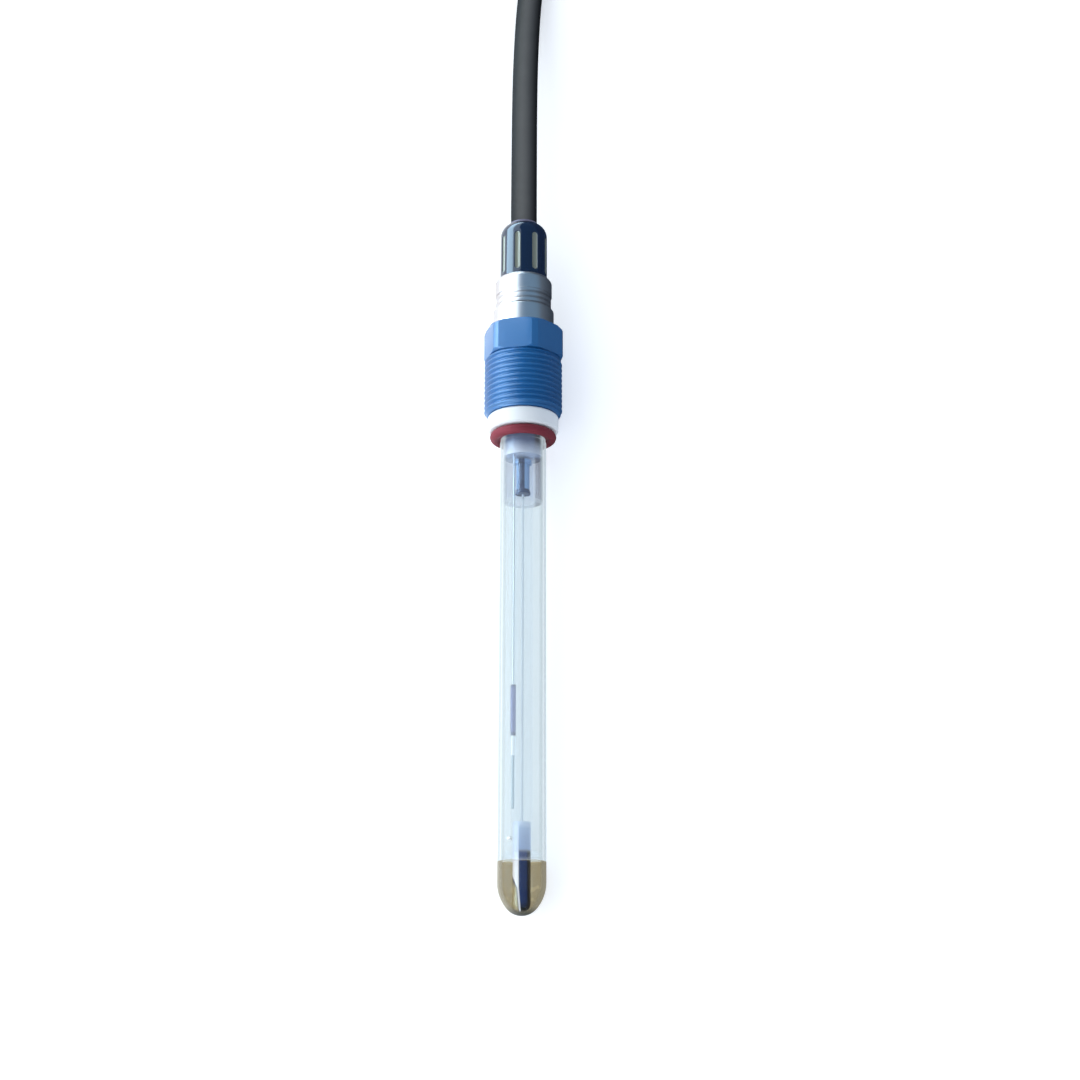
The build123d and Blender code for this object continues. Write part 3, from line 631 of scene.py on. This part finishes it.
def bulbOutline(inset):
    # nose and flank, two arcs tangent to each other
    g = glassSizes
    gap = g["bulbLength"] - g["nose"]
    flank = (g["radius"] ** 2 + gap ** 2 - g["nose"] ** 2) / (2 * (g["radius"] - g["nose"]))
    sweep = math.degrees(math.atan2(flank - g["radius"], gap))
    nose = arc((0, g["nose"]), g["nose"] - inset, 270, 270 + sweep, 14)
    side = arc((g["radius"] - flank, g["bulbLength"]), flank - inset, 270 + sweep, 360, 14)
    return nose + side[1:]


def makeGlass():
    g, s = glassSizes, stemSizes
    shaft = turned("glassShaft", [
        (g["bore"], g["start"]),
        (g["radius"], g["start"]),
        (g["radius"], g["stepAt"]),
        (g["neck"], g["stepAt"] + g["radius"] - g["neck"]),
        (g["neck"], g["end"]),
        (g["bore"], g["end"]),
        (g["bore"], g["start"]),
    ], g["steps"])
    soften(shaft, g["polish"], segments=2)
    finishPiece(shaft, "glass_shaft", "sensor", "glass")

    rim = [
        (g["radius"], g["start"] - g["polish"]),
        (g["radius"] - g["polish"], g["start"]),
        (g["radius"] - g["bulbWall"], g["start"]),
    ]
    bulb = turned("membraneBulb", bulbOutline(0) + rim + bulbOutline(g["bulbWall"])[::-1], g["steps"])
    finishPiece(bulb, "ph_membrane", "sensor", "membrane")

    flare = g["bore"] - s["radius"]
    centre = (g["bore"], g["start"] + flare + s["wall"])
    top = [
        (s["radius"], s["top"] - s["polish"]),
        (s["radius"] - s["polish"], s["top"]),
        (s["radius"] - s["wall"], s["top"] - s["polish"] / 2),
    ]
    stem = turned("innerStem",
                  arc(centre, flare, 270, 180, 14) + top + arc(centre, flare + s["wall"], 180, 270, 14)
                  + [(g["bore"], g["start"] + s["wall"])], s["steps"])
    finishPiece(stem, "inner_stem", "sensor", "stemGlass")


makeGlass()

# Seal ring and thrust collar under the head

ringSizes = {"outer": 8.6, "section": 2.5, "start": 120.4, "neck": 5.8, "land": 1.3, "flash": 0.035,
             "flashWidth": 0.08}
collarSizes = {"start": 122.95, "end": 127.35, "radius": 9.2, "bore": 5.88, "chamfer": 0.5, "soft": 0.22}


def makeSealRing():
    r = ringSizes
    half = r["section"] / 2
    centre = (r["outer"] - half, r["start"] + half)
    landAngle = math.degrees(math.asin(r["land"] / r["section"]))
    section = arc(centre, half, 180 + landAngle, 358, 20)
    # the mould's parting line stands a little proud
    flash, width = r["outer"] + r["flash"], r["flashWidth"] / 2
    section += [(flash, centre[1] - width), (flash, centre[1] + width)]
    section += arc(centre, half, 2, 180 - landAngle, 20)
    section += [(r["neck"], centre[1] + r["land"] / 2), (r["neck"], centre[1] - r["land"] / 2), section[0]]
    finishPiece(turned("sealRing", section, 128), "o_ring", "sensor", "ring", smooth=50)


def makeCollar():
    c = collarSizes
    collar = turned("thrustCollar", [
        (c["bore"], c["start"]),
        (c["radius"] - c["chamfer"], c["start"]),
        (c["radius"], c["start"] + c["chamfer"]),
        (c["radius"], c["end"] - c["chamfer"]),
        (c["radius"] - c["chamfer"], c["end"]),
        (c["bore"], c["end"]),
        (c["bore"], c["start"]),
    ], 128)
    soften(collar, c["soft"], segments=3)
    finishPiece(collar, "thrust_collar", "collar", "collar", smooth=35)


makeSealRing()
makeCollar()

# Screw head: rolled thread, undercut and hexagon in one moulding

headThread = {
    "pitch": 1.411,
    "crest": 10.2,
    "depth": 0.7,
    "start": 127.4,
    "end": 144.3,  # runs on into the hexagon
    "outline": [(share / 12, (1 + math.cos(share / 12 * 2 * math.pi)) / 2) for share in range(13)],
}
headSizes = {
    "foot": 127.4,
    "crestStart": 128.4,
    "crestEnd": 142.6,
    "crestRoom": 0.5,  # the blank stands clear of the crests by this
    "crestSlope": 0.6,
    "undercut": 9.3,
    "hexStart": 143.3,
    "hexEnd": 151.5,
    "hexWidth": 19.0,
    "hexCorner": 10.5,
    "hexChamfer": 0.6,
    "hexTurn": -12.7,
    "neckBore": 5.9,
    "neckEnd": 139.5,
    "chamber": 4.2,
    "socketAt": 146.0,
    "socketBore": 8.03,
    "soft": 0.16,
}


def makeHead():
    t, h = headThread, headSizes
    head = threadRod("threadedHead", t)
    blank = turned("threadBlank", [
        (0, h["foot"]),
        (h["undercut"], h["foot"]),
        (t["crest"], h["crestStart"]),
        (t["crest"] + h["crestRoom"], h["crestStart"] + h["crestSlope"]),
        (t["crest"] + h["crestRoom"], h["crestEnd"] - h["crestSlope"]),
        (t["crest"], h["crestEnd"]),
        (h["undercut"], h["hexStart"] - 0.1),
        (h["undercut"], t["end"] - 0.2),
        (0, t["end"] - 0.2),
    ])
    combine(head, blank, "INTERSECT")

    # six sides, longer than the hexagon at both ends, cut by its turned outline
    length, middle = h["hexEnd"] - h["hexStart"], (h["hexStart"] + h["hexEnd"]) / 2
    bpy.ops.object.select_all(action="DESELECT")
    bpy.ops.mesh.primitive_cylinder_add(
        vertices=6, radius=h["hexWidth"] / 2 / math.cos(math.pi / 6) * mm, depth=(length + 2) * mm,
        location=(0, 0, middle * mm), rotation=(0, 0, math.radians(h["hexTurn"] + 30)))
    hexagon = bpy.context.object
    settle(hexagon)
    corner, edge = h["hexCorner"], h["hexChamfer"]
    combine(hexagon, turned("hexBlank", [
        (0, h["hexStart"]),
        (corner - edge, h["hexStart"]),
        (corner, h["hexStart"] + edge),
        (corner, h["hexEnd"] - edge),
        (corner - edge, h["hexEnd"]),
        (0, h["hexEnd"]),
    ]), "INTERSECT")
    soften(hexagon, h["soft"], angle=25, segments=2)
    combine(head, hexagon, "UNION")
    combine(head, turned("headBore", [
        (0, h["foot"] - 1),
        (h["neckBore"], h["foot"] - 1),
        (h["neckBore"], h["neckEnd"]),
        (h["chamber"], h["neckEnd"]),
        (h["chamber"], h["socketAt"]),
        (h["socketBore"], h["socketAt"]),
        (h["socketBore"], h["hexEnd"] + 1),
        (0, h["hexEnd"] + 1),
    ]), "DIFFERENCE")
    finishPiece(head, "threaded_head", "sensor", "head", smooth=38)


makeHead()

# Steel socket and coupling nut

socketSizes = {
    "start": 146.0,
    "end": 156.9,
    "radius": 8.0,
    "bore": 7.35,
    "floor": 147.2,
    "boss": 2.63,
    "chamfer": 0.3,
    "soft": 0.1,
}
nutThread = {
    "pitch": 1.5,
    "crest": 7.3,
    "depth": 0.62,
    "start": 149.4,
    "end": 161.6,
    "outline": [(0, 0), (0.5, 0), (0.56, 0.1), (0.7, 0.9), (0.75, 1), (0.8, 0.9), (0.94, 0.1), (1, 0)],
}
nutSizes = {
    "ringStart": 161.1,
    "ring": 7.5,
    "top": 165.9,
    "topRadius": 6.75,
    "chamfer": 1.0,
    "bore": 5.28,
    "lead": 0.5,
    "crestRoom": 0.4,
    "soft": 0.14,
}


def makeSocket():
    s = socketSizes
    socket = turned("headSocket", [
        (s["boss"], s["start"]),
        (s["radius"] - s["chamfer"], s["start"]),
        (s["radius"], s["start"] + s["chamfer"]),
        (s["radius"], s["end"] - s["chamfer"]),
        (s["radius"] - s["chamfer"], s["end"]),
        (s["bore"], s["end"]),
        (s["bore"], s["floor"]),
        (s["boss"], s["floor"]),
        (s["boss"], s["start"]),
    ], 128)
    soften(socket, s["soft"], segments=2)
    finishPiece(socket, "head_socket", "sensor", "steel", smooth=35)


def makeNut():
    t, n = nutThread, nutSizes
    nut = threadRod("couplingNut", t)
    combine(nut, turned("nutBlank", [
        (0, t["start"] + 0.01),
        (t["crest"] - n["lead"], t["start"] + 0.01),
        (t["crest"], t["start"] + n["lead"]),
        (t["crest"] + n["crestRoom"], t["start"] + 2 * n["lead"]),
        (t["crest"] + n["crestRoom"], t["end"] - 0.05),
        (0, t["end"] - 0.05),
    ]), "INTERSECT")
    ring = turned("nutRing", [
        (0, n["ringStart"]),
        (n["ring"], n["ringStart"]),
        (n["ring"], n["top"] - n["chamfer"]),
        (n["topRadius"], n["top"]),
        (0, n["top"]),
    ])
    soften(ring, n["soft"], segments=3)
    combine(nut, ring, "UNION")
    combine(nut, turned("nutBore", [
        (0, t["start"] - 1),
        (n["bore"], t["start"] - 1),
        (n["bore"], n["top"] + 1),
        (0, n["top"] + 1),
    ]), "DIFFERENCE")
    finishPiece(nut, "coupling_nut", "nut", "steel", smooth=38)


makeSocket()
makeNut()

# Fluted cap

capSizes = {
    "start": 166.0,
    "length": 16.5,
    "radius": 6.2,
    "shoulder": 3.4,
    "rim": 0.4,
    "edge": 0.25,
    "mouth": 3.93,
    "coreBore": 5.23,
    "coreEnd": 174.5,
    "clampBore": 4.63,
    "clampEnd": 178.5,
    "flutes": 8,
    "fluteRadius": 0.95,
    "fluteDepth": 0.55,
    "fluteLength": 11.0,
    "fluteStart": 1.1,
    "fluteTurn": 29.7,  # degrees from the camera's side
    "soft": 0.13,
}
sealSizes = {"bore": 3.45, "radius": 3.9, "lip": 3.72, "lipBore": 3.5}


def makeCap():
    c = capSizes
    top = c["start"] + c["length"]
    shoulderAt = top - c["shoulder"] - c["rim"]
    centre = (c["radius"] - c["shoulder"], shoulderAt)
    mouthAngle = math.degrees(math.acos((c["mouth"] - centre[0]) / c["shoulder"]))
    cap = turned("plugCap", [
        (c["coreBore"], c["start"]),
        (c["radius"] - c["edge"], c["start"]),
        (c["radius"], c["start"] + c["edge"]),
    ] + arc(centre, c["shoulder"], 0, mouthAngle, 16) + [
        (c["mouth"], c["clampEnd"]),
        (c["clampBore"], c["clampEnd"]),
        (c["clampBore"], c["coreEnd"]),
        (c["coreBore"], c["coreEnd"]),
        (c["coreBore"], c["start"]),
    ], 128)
    # one rod with round ends cuts a flute; it is copied round the cap
    half = c["fluteLength"] / 2 - c["fluteRadius"]
    foot, head = arc((0, -half), c["fluteRadius"], 270, 360, 6), arc((0, half), c["fluteRadius"], 0, 90, 6)
    rod = turned("fluteRod", foot + head, 28)
    middle = c["start"] + c["fluteStart"] + c["fluteLength"] / 2
    for flute in range(c["flutes"]):
        angle = math.radians(c["fluteTurn"] - 90 + 360 * flute / c["flutes"])
        reach = c["radius"] + c["fluteRadius"] - c["fluteDepth"]
        cutter = bpy.data.objects.new("flute", rod.data.copy())
        bpy.context.scene.collection.objects.link(cutter)
        cutter.data.transform(Matrix.Translation(
            Vector((reach * math.cos(angle), reach * math.sin(angle), middle)) * mm))
        combine(cap, cutter, "DIFFERENCE")
    bpy.data.objects.remove(rod)
    soften(cap, c["soft"], angle=28, segments=2)
    finishPiece(cap, "plug_cap", "plug", "cap", smooth=40)
    s = sealSizes
    seal = turned("cableSeal", [
        (s["bore"], c["clampEnd"]),
        (s["radius"], c["clampEnd"]),
        (s["radius"], top - 0.16),
        (s["radius"] - 0.06, top - 0.05),
        (s["lip"], top),
        (s["lipBore"], top),
        (s["bore"], c["clampEnd"]),
    ], 64)
    finishPiece(seal, "cable_seal", "plug", "seal", smooth=50)


makeCap()

# Straps round the hank's two runs: each hugs its lanes and lies flat under them

tieSizes = {
    "width": 5.0,
    "thick": 0.8,
    "soft": 0.18,
    "cable": 3.5,
    "rightLanes": [(6.0, 3.5), (2.5, 10.5), (-1.0, 3.5)],
    "leftLanes": [(-43.0, 3.5), (-50.0, 3.5)],
    "rightAt": 246.0,
    "leftAt": 208.0,
}


def strapLine(lanes, radius, floor):
    # the line round the lanes, seen along the run: arcs on the outer lanes, straight between them
    points = []
    count = len(lanes)
    for index, (x, z) in enumerate(lanes):
        before = Vector(lanes[index - 1]) - Vector((x, z))
        after = Vector(lanes[(index + 1) % count]) - Vector((x, z))
        first = math.atan2(before.x, -before.y)
        last = math.atan2(-after.x, after.y)
        while last < first:
            last += 2 * math.pi
        for step in range(13):
            angle = first + (last - first) * step / 12
            points.append((x + radius * math.cos(angle), max(z + radius * math.sin(angle), floor)))
    return points


def makeStrap(name, lanes, middle):
    t = tieSizes
    # the two outer lanes on the floor, then those on top of them: anticlockwise with X to the right and Z up
    low = sorted(lane for lane in lanes if lane[1] == t["cable"])
    high = [lane for lane in lanes if lane[1] > t["cable"]]
    line = strapLine([low[0], low[-1]] + high, t["cable"] + t["thick"] / 2, t["thick"] / 2)
    strap = drawn(name, line + [line[0]])
    bpy.ops.object.mode_set(mode="EDIT")
    bpy.ops.mesh.select_all(action="SELECT")
    bpy.ops.mesh.remove_doubles(threshold=0.01 * mm)
    bpy.ops.mesh.extrude_edges_move(TRANSFORM_OT_translate={"value": (0, t["width"] * mm, 0)})
    bpy.ops.mesh.select_all(action="SELECT")
    bpy.ops.mesh.normals_make_consistent(inside=False)
    bpy.ops.object.mode_set(mode="OBJECT")
    strap.data.transform(Matrix.Translation((0, (middle - t["width"] / 2) * mm, 0)))
    modify(strap, "SOLIDIFY", thickness=t["thick"] * mm, offset=0)
    soften(strap, t["soft"], angle=50, segments=2)
    return strap


def makeTies():
    t = tieSizes
    right = makeStrap("hankTies", t["rightLanes"], t["rightAt"])
    left = makeStrap("leftTie", t["leftLanes"], t["leftAt"])
    pick(right)
    left.select_set(True)
    bpy.ops.object.join()
    finishPiece(right, "hank_ties", "plug", "strap", smooth=40, frameMatrix=Matrix.Identity(4))
    return right


hankTies = makeTies()

# Bayonet plug on the cable's end: its own axis runs from the boot's mouth to the plug's front

plugAxis = joints["bayonet_turn"]
plugSizes = {
    "mouth": 254.0,
    "boot": 16.0,
    "bootMouth": 4.6,
    "bootEnd": 5.4,
    "ferrule": 4.29,
    "grip": 6.0,
    "cableBore": 3.54,
    "ribs": 6,
    "ribStart": 1.4,
    "ribPitch": 1.55,
    "ribDepth": 0.45,
    "ringStart": 23.2,
    "ringEnd": 37.5,
    "ring": 7.25,
    "hub": 27.5,
    "hubBore": 4.93,
    "bore": 5.0,
    "chamfer": 0.6,
    "bandStart": 1.6,  # the grip's teeth, from the ring's start
    "bandEnd": 8.2,
    "teeth": 60,
    "toothDepth": 0.35,
    "frontStep": 0.4,
    "camWidth": 2.2,
    "camDepth": 6.0,
}
plugFrame = Matrix.Translation((plugAxis["pos_m"][0], plugSizes["mouth"] * mm, plugAxis["pos_m"][2])) @ Matrix(
    ((1, 0, 0, 0), (0, 0, -1, 0), (0, 1, 0, 0), (0, 0, 0, 1)))


def makeBoot():
    p = plugSizes
    outline = [(p["cableBore"], 0), (p["bootMouth"] - 0.3, 0), (p["bootMouth"], 0.3)]
    for rib in range(p["ribs"]):
        height = p["ribStart"] + rib * p["ribPitch"]
        outer = p["bootMouth"] + (p["bootEnd"] - p["bootMouth"]) * height / p["boot"]
        outline += [
            (outer, height),
            (outer - p["ribDepth"], height + 0.12),
            (outer - p["ribDepth"], height + 0.6),
            (outer + 0.03, height + 0.72),
        ]
    outline += [
        (p["bootEnd"], p["boot"] - 0.25),
        (p["bootEnd"] - 0.25, p["boot"]),
        (p["ferrule"], p["boot"]),
        (p["ferrule"], p["grip"]),
        (p["cableBore"], p["grip"]),
        (p["cableBore"], 0),
    ]
    boot = turned("plugBoot", outline, 72)
    soften(boot, 0.1, angle=35, segments=2)
    return finishPiece(boot, "bnc_boot", "plug", "boot", smooth=45, frameMatrix=plugFrame)


def makeBayonet():
    p = plugSizes
    outer, edge = p["ring"], p["chamfer"]
    bandStart, bandEnd = p["ringStart"] + p["bandStart"], p["ringStart"] + p["bandEnd"]
    front = outer - p["frontStep"]
    ring = turned("bayonetRing", [
        (p["hubBore"], p["ringStart"]),
        (outer - edge, p["ringStart"]),
        (outer, p["ringStart"] + edge),
        (outer, bandStart - 0.2),
        (outer, bandStart),
        (outer, bandEnd),
        (outer, bandEnd + 0.2),
        (outer, bandEnd + 0.5),
        (front, bandEnd + 0.7),
        (front, p["ringEnd"] - edge),
        (front - edge, p["ringEnd"]),
        (p["bore"], p["ringEnd"]),
        (p["bore"], p["hub"]),
        (p["hubBore"], p["hub"]),
        (p["hubBore"], p["ringStart"]),
    ], 120)
    # every second line of the band is pressed in, which makes the grip's teeth
    pick(ring)
    bpy.ops.object.mode_set(mode="EDIT")
    bpy.ops.mesh.select_all(action="DESELECT")
    bpy.ops.object.mode_set(mode="OBJECT")
    for vertex in ring.data.vertices:
        height = vertex.co.z / mm
        inBand = bandStart - 0.01 < height < bandEnd + 0.01 and vertex.co.xy.length > (outer - 0.1) * mm
        turn = math.atan2(vertex.co.y, vertex.co.x) / math.pi * p["teeth"]
        vertex.select = inBand and round(turn) % 2 == 1
    bpy.ops.object.mode_set(mode="EDIT")
    press = (outer - p["toothDepth"]) / outer
    bpy.ops.transform.resize(value=(press, press, 1), center_override=(0, 0, 0))
    bpy.ops.object.mode_set(mode="OBJECT")
    # cam slots: a round-nosed cutter from the front, copied to the other side
    for angle in (0, math.pi):
        reach = p["camDepth"] - p["camWidth"] / 2
        nose = arc((0, -reach), p["camWidth"] / 2, 270, 360, 6)
        slot = turned("camSlot", nose + [(p["camWidth"] / 2, 1), (0, 1)], 32)
        slot.data.transform(Matrix.Translation((0, outer * mm, p["ringEnd"] * mm)))
        slot.data.transform(Matrix.Rotation(angle, 4, "Z"))
        combine(ring, slot, "DIFFERENCE")
    return finishPiece(ring, "bayonet_ring", "bayonet", "nickel", frameMatrix=plugFrame)


plugBoot = makeBoot()
bayonetRing = makeBayonet()

# Cable: the same route as the solids, in metres

cableSizes = {
    "radius": 3.5,
    "start": 174.5,  # where the clamp holds it, inside the cap
    "exit": 182.5,  # the cap's mouth
    "out": 205.5,
    "dip": (0.2, 145.0, 8.6),
    "landing": (1.4, 172.0),
    "entry": (4.9, 194.0),
    "length": 0.93,
}
hankSizes = {
    "centre": -22.0,
    "near": 208.0,
    "far": 284.0,
    "outer": 28.0,
    "inner": 21.0,
    "upper": 24.5,
    "low": 3.5,
    "high": 10.5,
    "foldPoints": 6,
    "runPoints": 3,
}
tailSizes = {"x": -46.5, "firstDown": 11.0, "secondDown": 24.0, "lift": 0.2, "plugHeight": 14.28, "end": 248.0}


def foldPoints(centreY, start, radii, heights):
    # control points round half a turn; the spline touches each side at its middle
    centreX, count = hankSizes["centre"], hankSizes["foldPoints"]
    step = math.pi / count
    points = []
    for index in range(count):
        share = (index + 0.5) / count
        angle = start + (index + 0.5) * step
        radius = (radii[0] + (radii[1] - radii[0]) * share) / math.cos(step / 2)
        height = heights[0] + (heights[1] - heights[0]) * share
        points.append((centreX + radius * math.cos(angle), centreY + radius * math.sin(angle), height))
    return points


def runPoints(x, startY, endY, height):
    count = hankSizes["runPoints"]
    return [(x, startY + (endY - startY) * (index + 1) / (count + 1), height) for index in range(count)]


def cableRoute():
    c, h, t = cableSizes, hankSizes, tailSizes
    route = [tuple(onAxis(c["start"]) / mm), tuple(onAxis(c["out"]) / mm), c["dip"]]
    route += [(*c["landing"], c["radius"]), (*c["entry"], c["radius"])]
    laps = [
        (h["outer"], h["inner"], h["low"], h["low"]),
        (h["inner"], h["upper"], h["low"], h["high"]),
    ]
    for radius, nextRadius, height, nextHeight in laps:
        route += runPoints(h["centre"] + radius, h["near"], h["far"], height)
        route += foldPoints(h["far"], 0, (radius, radius), (height, height))
        route += runPoints(h["centre"] - radius, h["far"], h["near"], height)
        route += foldPoints(h["near"], math.pi, (radius, nextRadius), (height, nextHeight))
    route += runPoints(h["centre"] + h["upper"], h["near"], h["far"], h["high"])
    route += foldPoints(h["far"], 0, (h["upper"], h["upper"]), (h["high"], h["high"]))
    route += [
        (t["x"], h["far"] - t["firstDown"], h["high"] + t["lift"]),
        (t["x"], h["far"] - t["secondDown"], t["plugHeight"]),
        (t["x"], t["end"], t["plugHeight"]),
    ]
    return route


def makeCable():
    curve = bpy.data.curves.new("leadCable", "CURVE")
    curve.dimensions = "3D"
    spline = curve.splines.new("NURBS")
    route = cableRoute()
    spline.points.add(len(route) - 1)
    for point, place in zip(spline.points, route):
        point.co = (*(Vector(place) * mm), 1)
    spline.order_u = 3
    spline.use_endpoint_u = True
    spline.resolution_u = 8
    curve.bevel_depth = cableSizes["radius"] * mm
    curve.bevel_resolution = 7
    curve.use_fill_caps = True
    cable = bpy.data.objects.new("leadCable", curve)
    bpy.context.scene.collection.objects.link(cable)
    paint(cable, "cable")
    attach(cable, "plug")
    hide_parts("cable", "cable_hank", "cable_tail")
    return cable


leadCable = makeCable()
print("cable laid")

# Studio: pale floor, a broad softbox low on the left with a weaker panel above it, a dim cool room

studio = {
    "floorSize": 30.0,
    "floorColour": rgb(247, 249, 251),
    "floorGlow": 0.46,
    "card": (0.05, 0.07, 0.095),  # the dark floor that gloss sees on the right
    "mattLeft": (0.84, 0.88, 0.92),  # what the room gives to matt surfaces
    "mattRight": (0.38, 0.44, 0.55),
    "reach": 0.557,  # metres from the electrode
    "colour": (0.94, 0.98, 0.95),
}
# each softbox for matt surfaces: angle above the floor, height and length in metres, radiance
softboxes = {
    "keySoftbox": (20.0, 0.38, 1.2, 1.55),
    "upperPanel": (54.0, 0.26, 1.2, 0.6),
}
# what gloss and metal see: degrees from overhead towards the left, and radiance
glossView = [
    (-90, (0.11, 0.15, 0.2)),
    (-72, (0.11, 0.15, 0.2)),
    (-60, (0.16, 0.3, 0.46)),
    (18, (0.17, 0.33, 0.53)),
    (23, (1.9, 2.35, 2.7)),
    (50, (1.9, 2.35, 2.7)),
    (56, (5.8, 8.2, 9.9)),
    (90, (5.8, 8.2, 9.9)),
]
glossScale = 10.0


def makeFloor():
    bpy.ops.object.select_all(action="DESELECT")
    bpy.ops.mesh.primitive_plane_add(size=studio["floorSize"])
    floor = bpy.context.object
    floor.name = "studioFloor"
    f = Finish("studioFloor")
    tone = f.mix(f.noise(3, 2), studio["floorColour"], rgb(250, 251, 252))
    paper = f.plastic(Base_Color=tone, Roughness=0.7, Emission_Color=tone,
                      Emission_Strength=studio["floorGlow"])
    card = f.plastic(Base_Color=(*studio["card"], 1), Roughness=0.8)
    glossy = f.node("ShaderNodeLightPath", output="Is Glossy Ray")
    rightward = f.clamp(f.parts(f.place())[0] * 60 + 0.7)
    floor.data.materials.append(f.show(f.overlay(glossy * rightward, paper, card)))


def makeSoftbox(name, rise, height, length, radiance):
    angle = math.radians(rise)
    data = bpy.data.lights.new(name, "AREA")
    data.shape = "RECTANGLE"
    data.size, data.size_y = length, height
    data.energy = radiance * math.pi * height * length
    data.color = studio["colour"]
    light = bpy.data.objects.new(name, data)
    light.location = (-studio["reach"] * math.cos(angle), 0.18, studio["reach"] * math.sin(angle))
    light.rotation_euler = (math.pi / 2 - angle, 0, -math.pi / 2)
    light.visible_glossy = False
    bpy.context.scene.collection.objects.link(light)


def makeRoom():
    f = Finish("studioRoom", bpy.data.worlds)
    x, y, z = f.parts(f.node("ShaderNodeTexCoord", output="Generated"))
    across = f.clamp((x + 0.8) / 1.6)
    leftward = (x * -1.0).maths("ARCTAN2", z)
    stops = [((angle + 90) / 180, dimmed(colour, 1 / glossScale)) for angle, colour in glossView]
    mattTone = f.ramp(across, [(0, studio["mattLeft"]), (1, studio["mattRight"])])
    glossTone = f.ramp(f.clamp(leftward / math.pi + 0.5), stops)
    matt = f.node("ShaderNodeBackground", None, {"Color": mattTone})
    gloss = f.node("ShaderNodeBackground", None, {"Color": glossTone, "Strength": glossScale})
    glossy = f.node("ShaderNodeLightPath", output="Is Glossy Ray")
    bpy.context.scene.world = f.show(f.overlay(glossy, matt, gloss), "ShaderNodeOutputWorld")


makeFloor()
for name, sizes in softboxes.items():
    makeSoftbox(name, *sizes)
makeRoom()
bpy.context.scene.view_settings.view_transform = "Standard"
bpy.context.scene.cycles.transparent_max_bounces = 32  # glass, gel and stem lie in each other

# Camera: the photograph's view, from the bulb's end, with the electrode upright in the frame

view = {
    "distance": 420.0,
    "height": -29.6,
    "right": 4.4,
    "pitch": 16.4,
    "roll": 0.03,
    "focal": 1715.0,  # pixels on a 1080 frame
    "frame": 1080.0,
    "sensor": 36.0,
}


def makeCamera():
    data = bpy.data.cameras.new("photoView")
    data.sensor_width = view["sensor"]
    data.lens = view["focal"] * view["sensor"] / view["frame"]
    data.clip_start = 0.01
    camera = bpy.data.objects.new("photoView", data)
    bpy.context.scene.collection.objects.link(camera)
    pitch = math.radians(view["pitch"])
    forward = -away * math.cos(pitch) + along * math.sin(pitch)
    up = along * math.cos(pitch) + away * math.sin(pitch)
    aim = Matrix((right, up, -forward)).transposed().to_4x4()
    roll = Matrix.Rotation(math.radians(view["roll"]), 4, "Z")
    place = onAxis(view["height"]) + away * view["distance"] * mm + right * view["right"] * mm
    camera.matrix_world = Matrix.Translation(place) @ aim @ roll
    bpy.context.scene.camera = camera


makeCamera()
print("studio set")
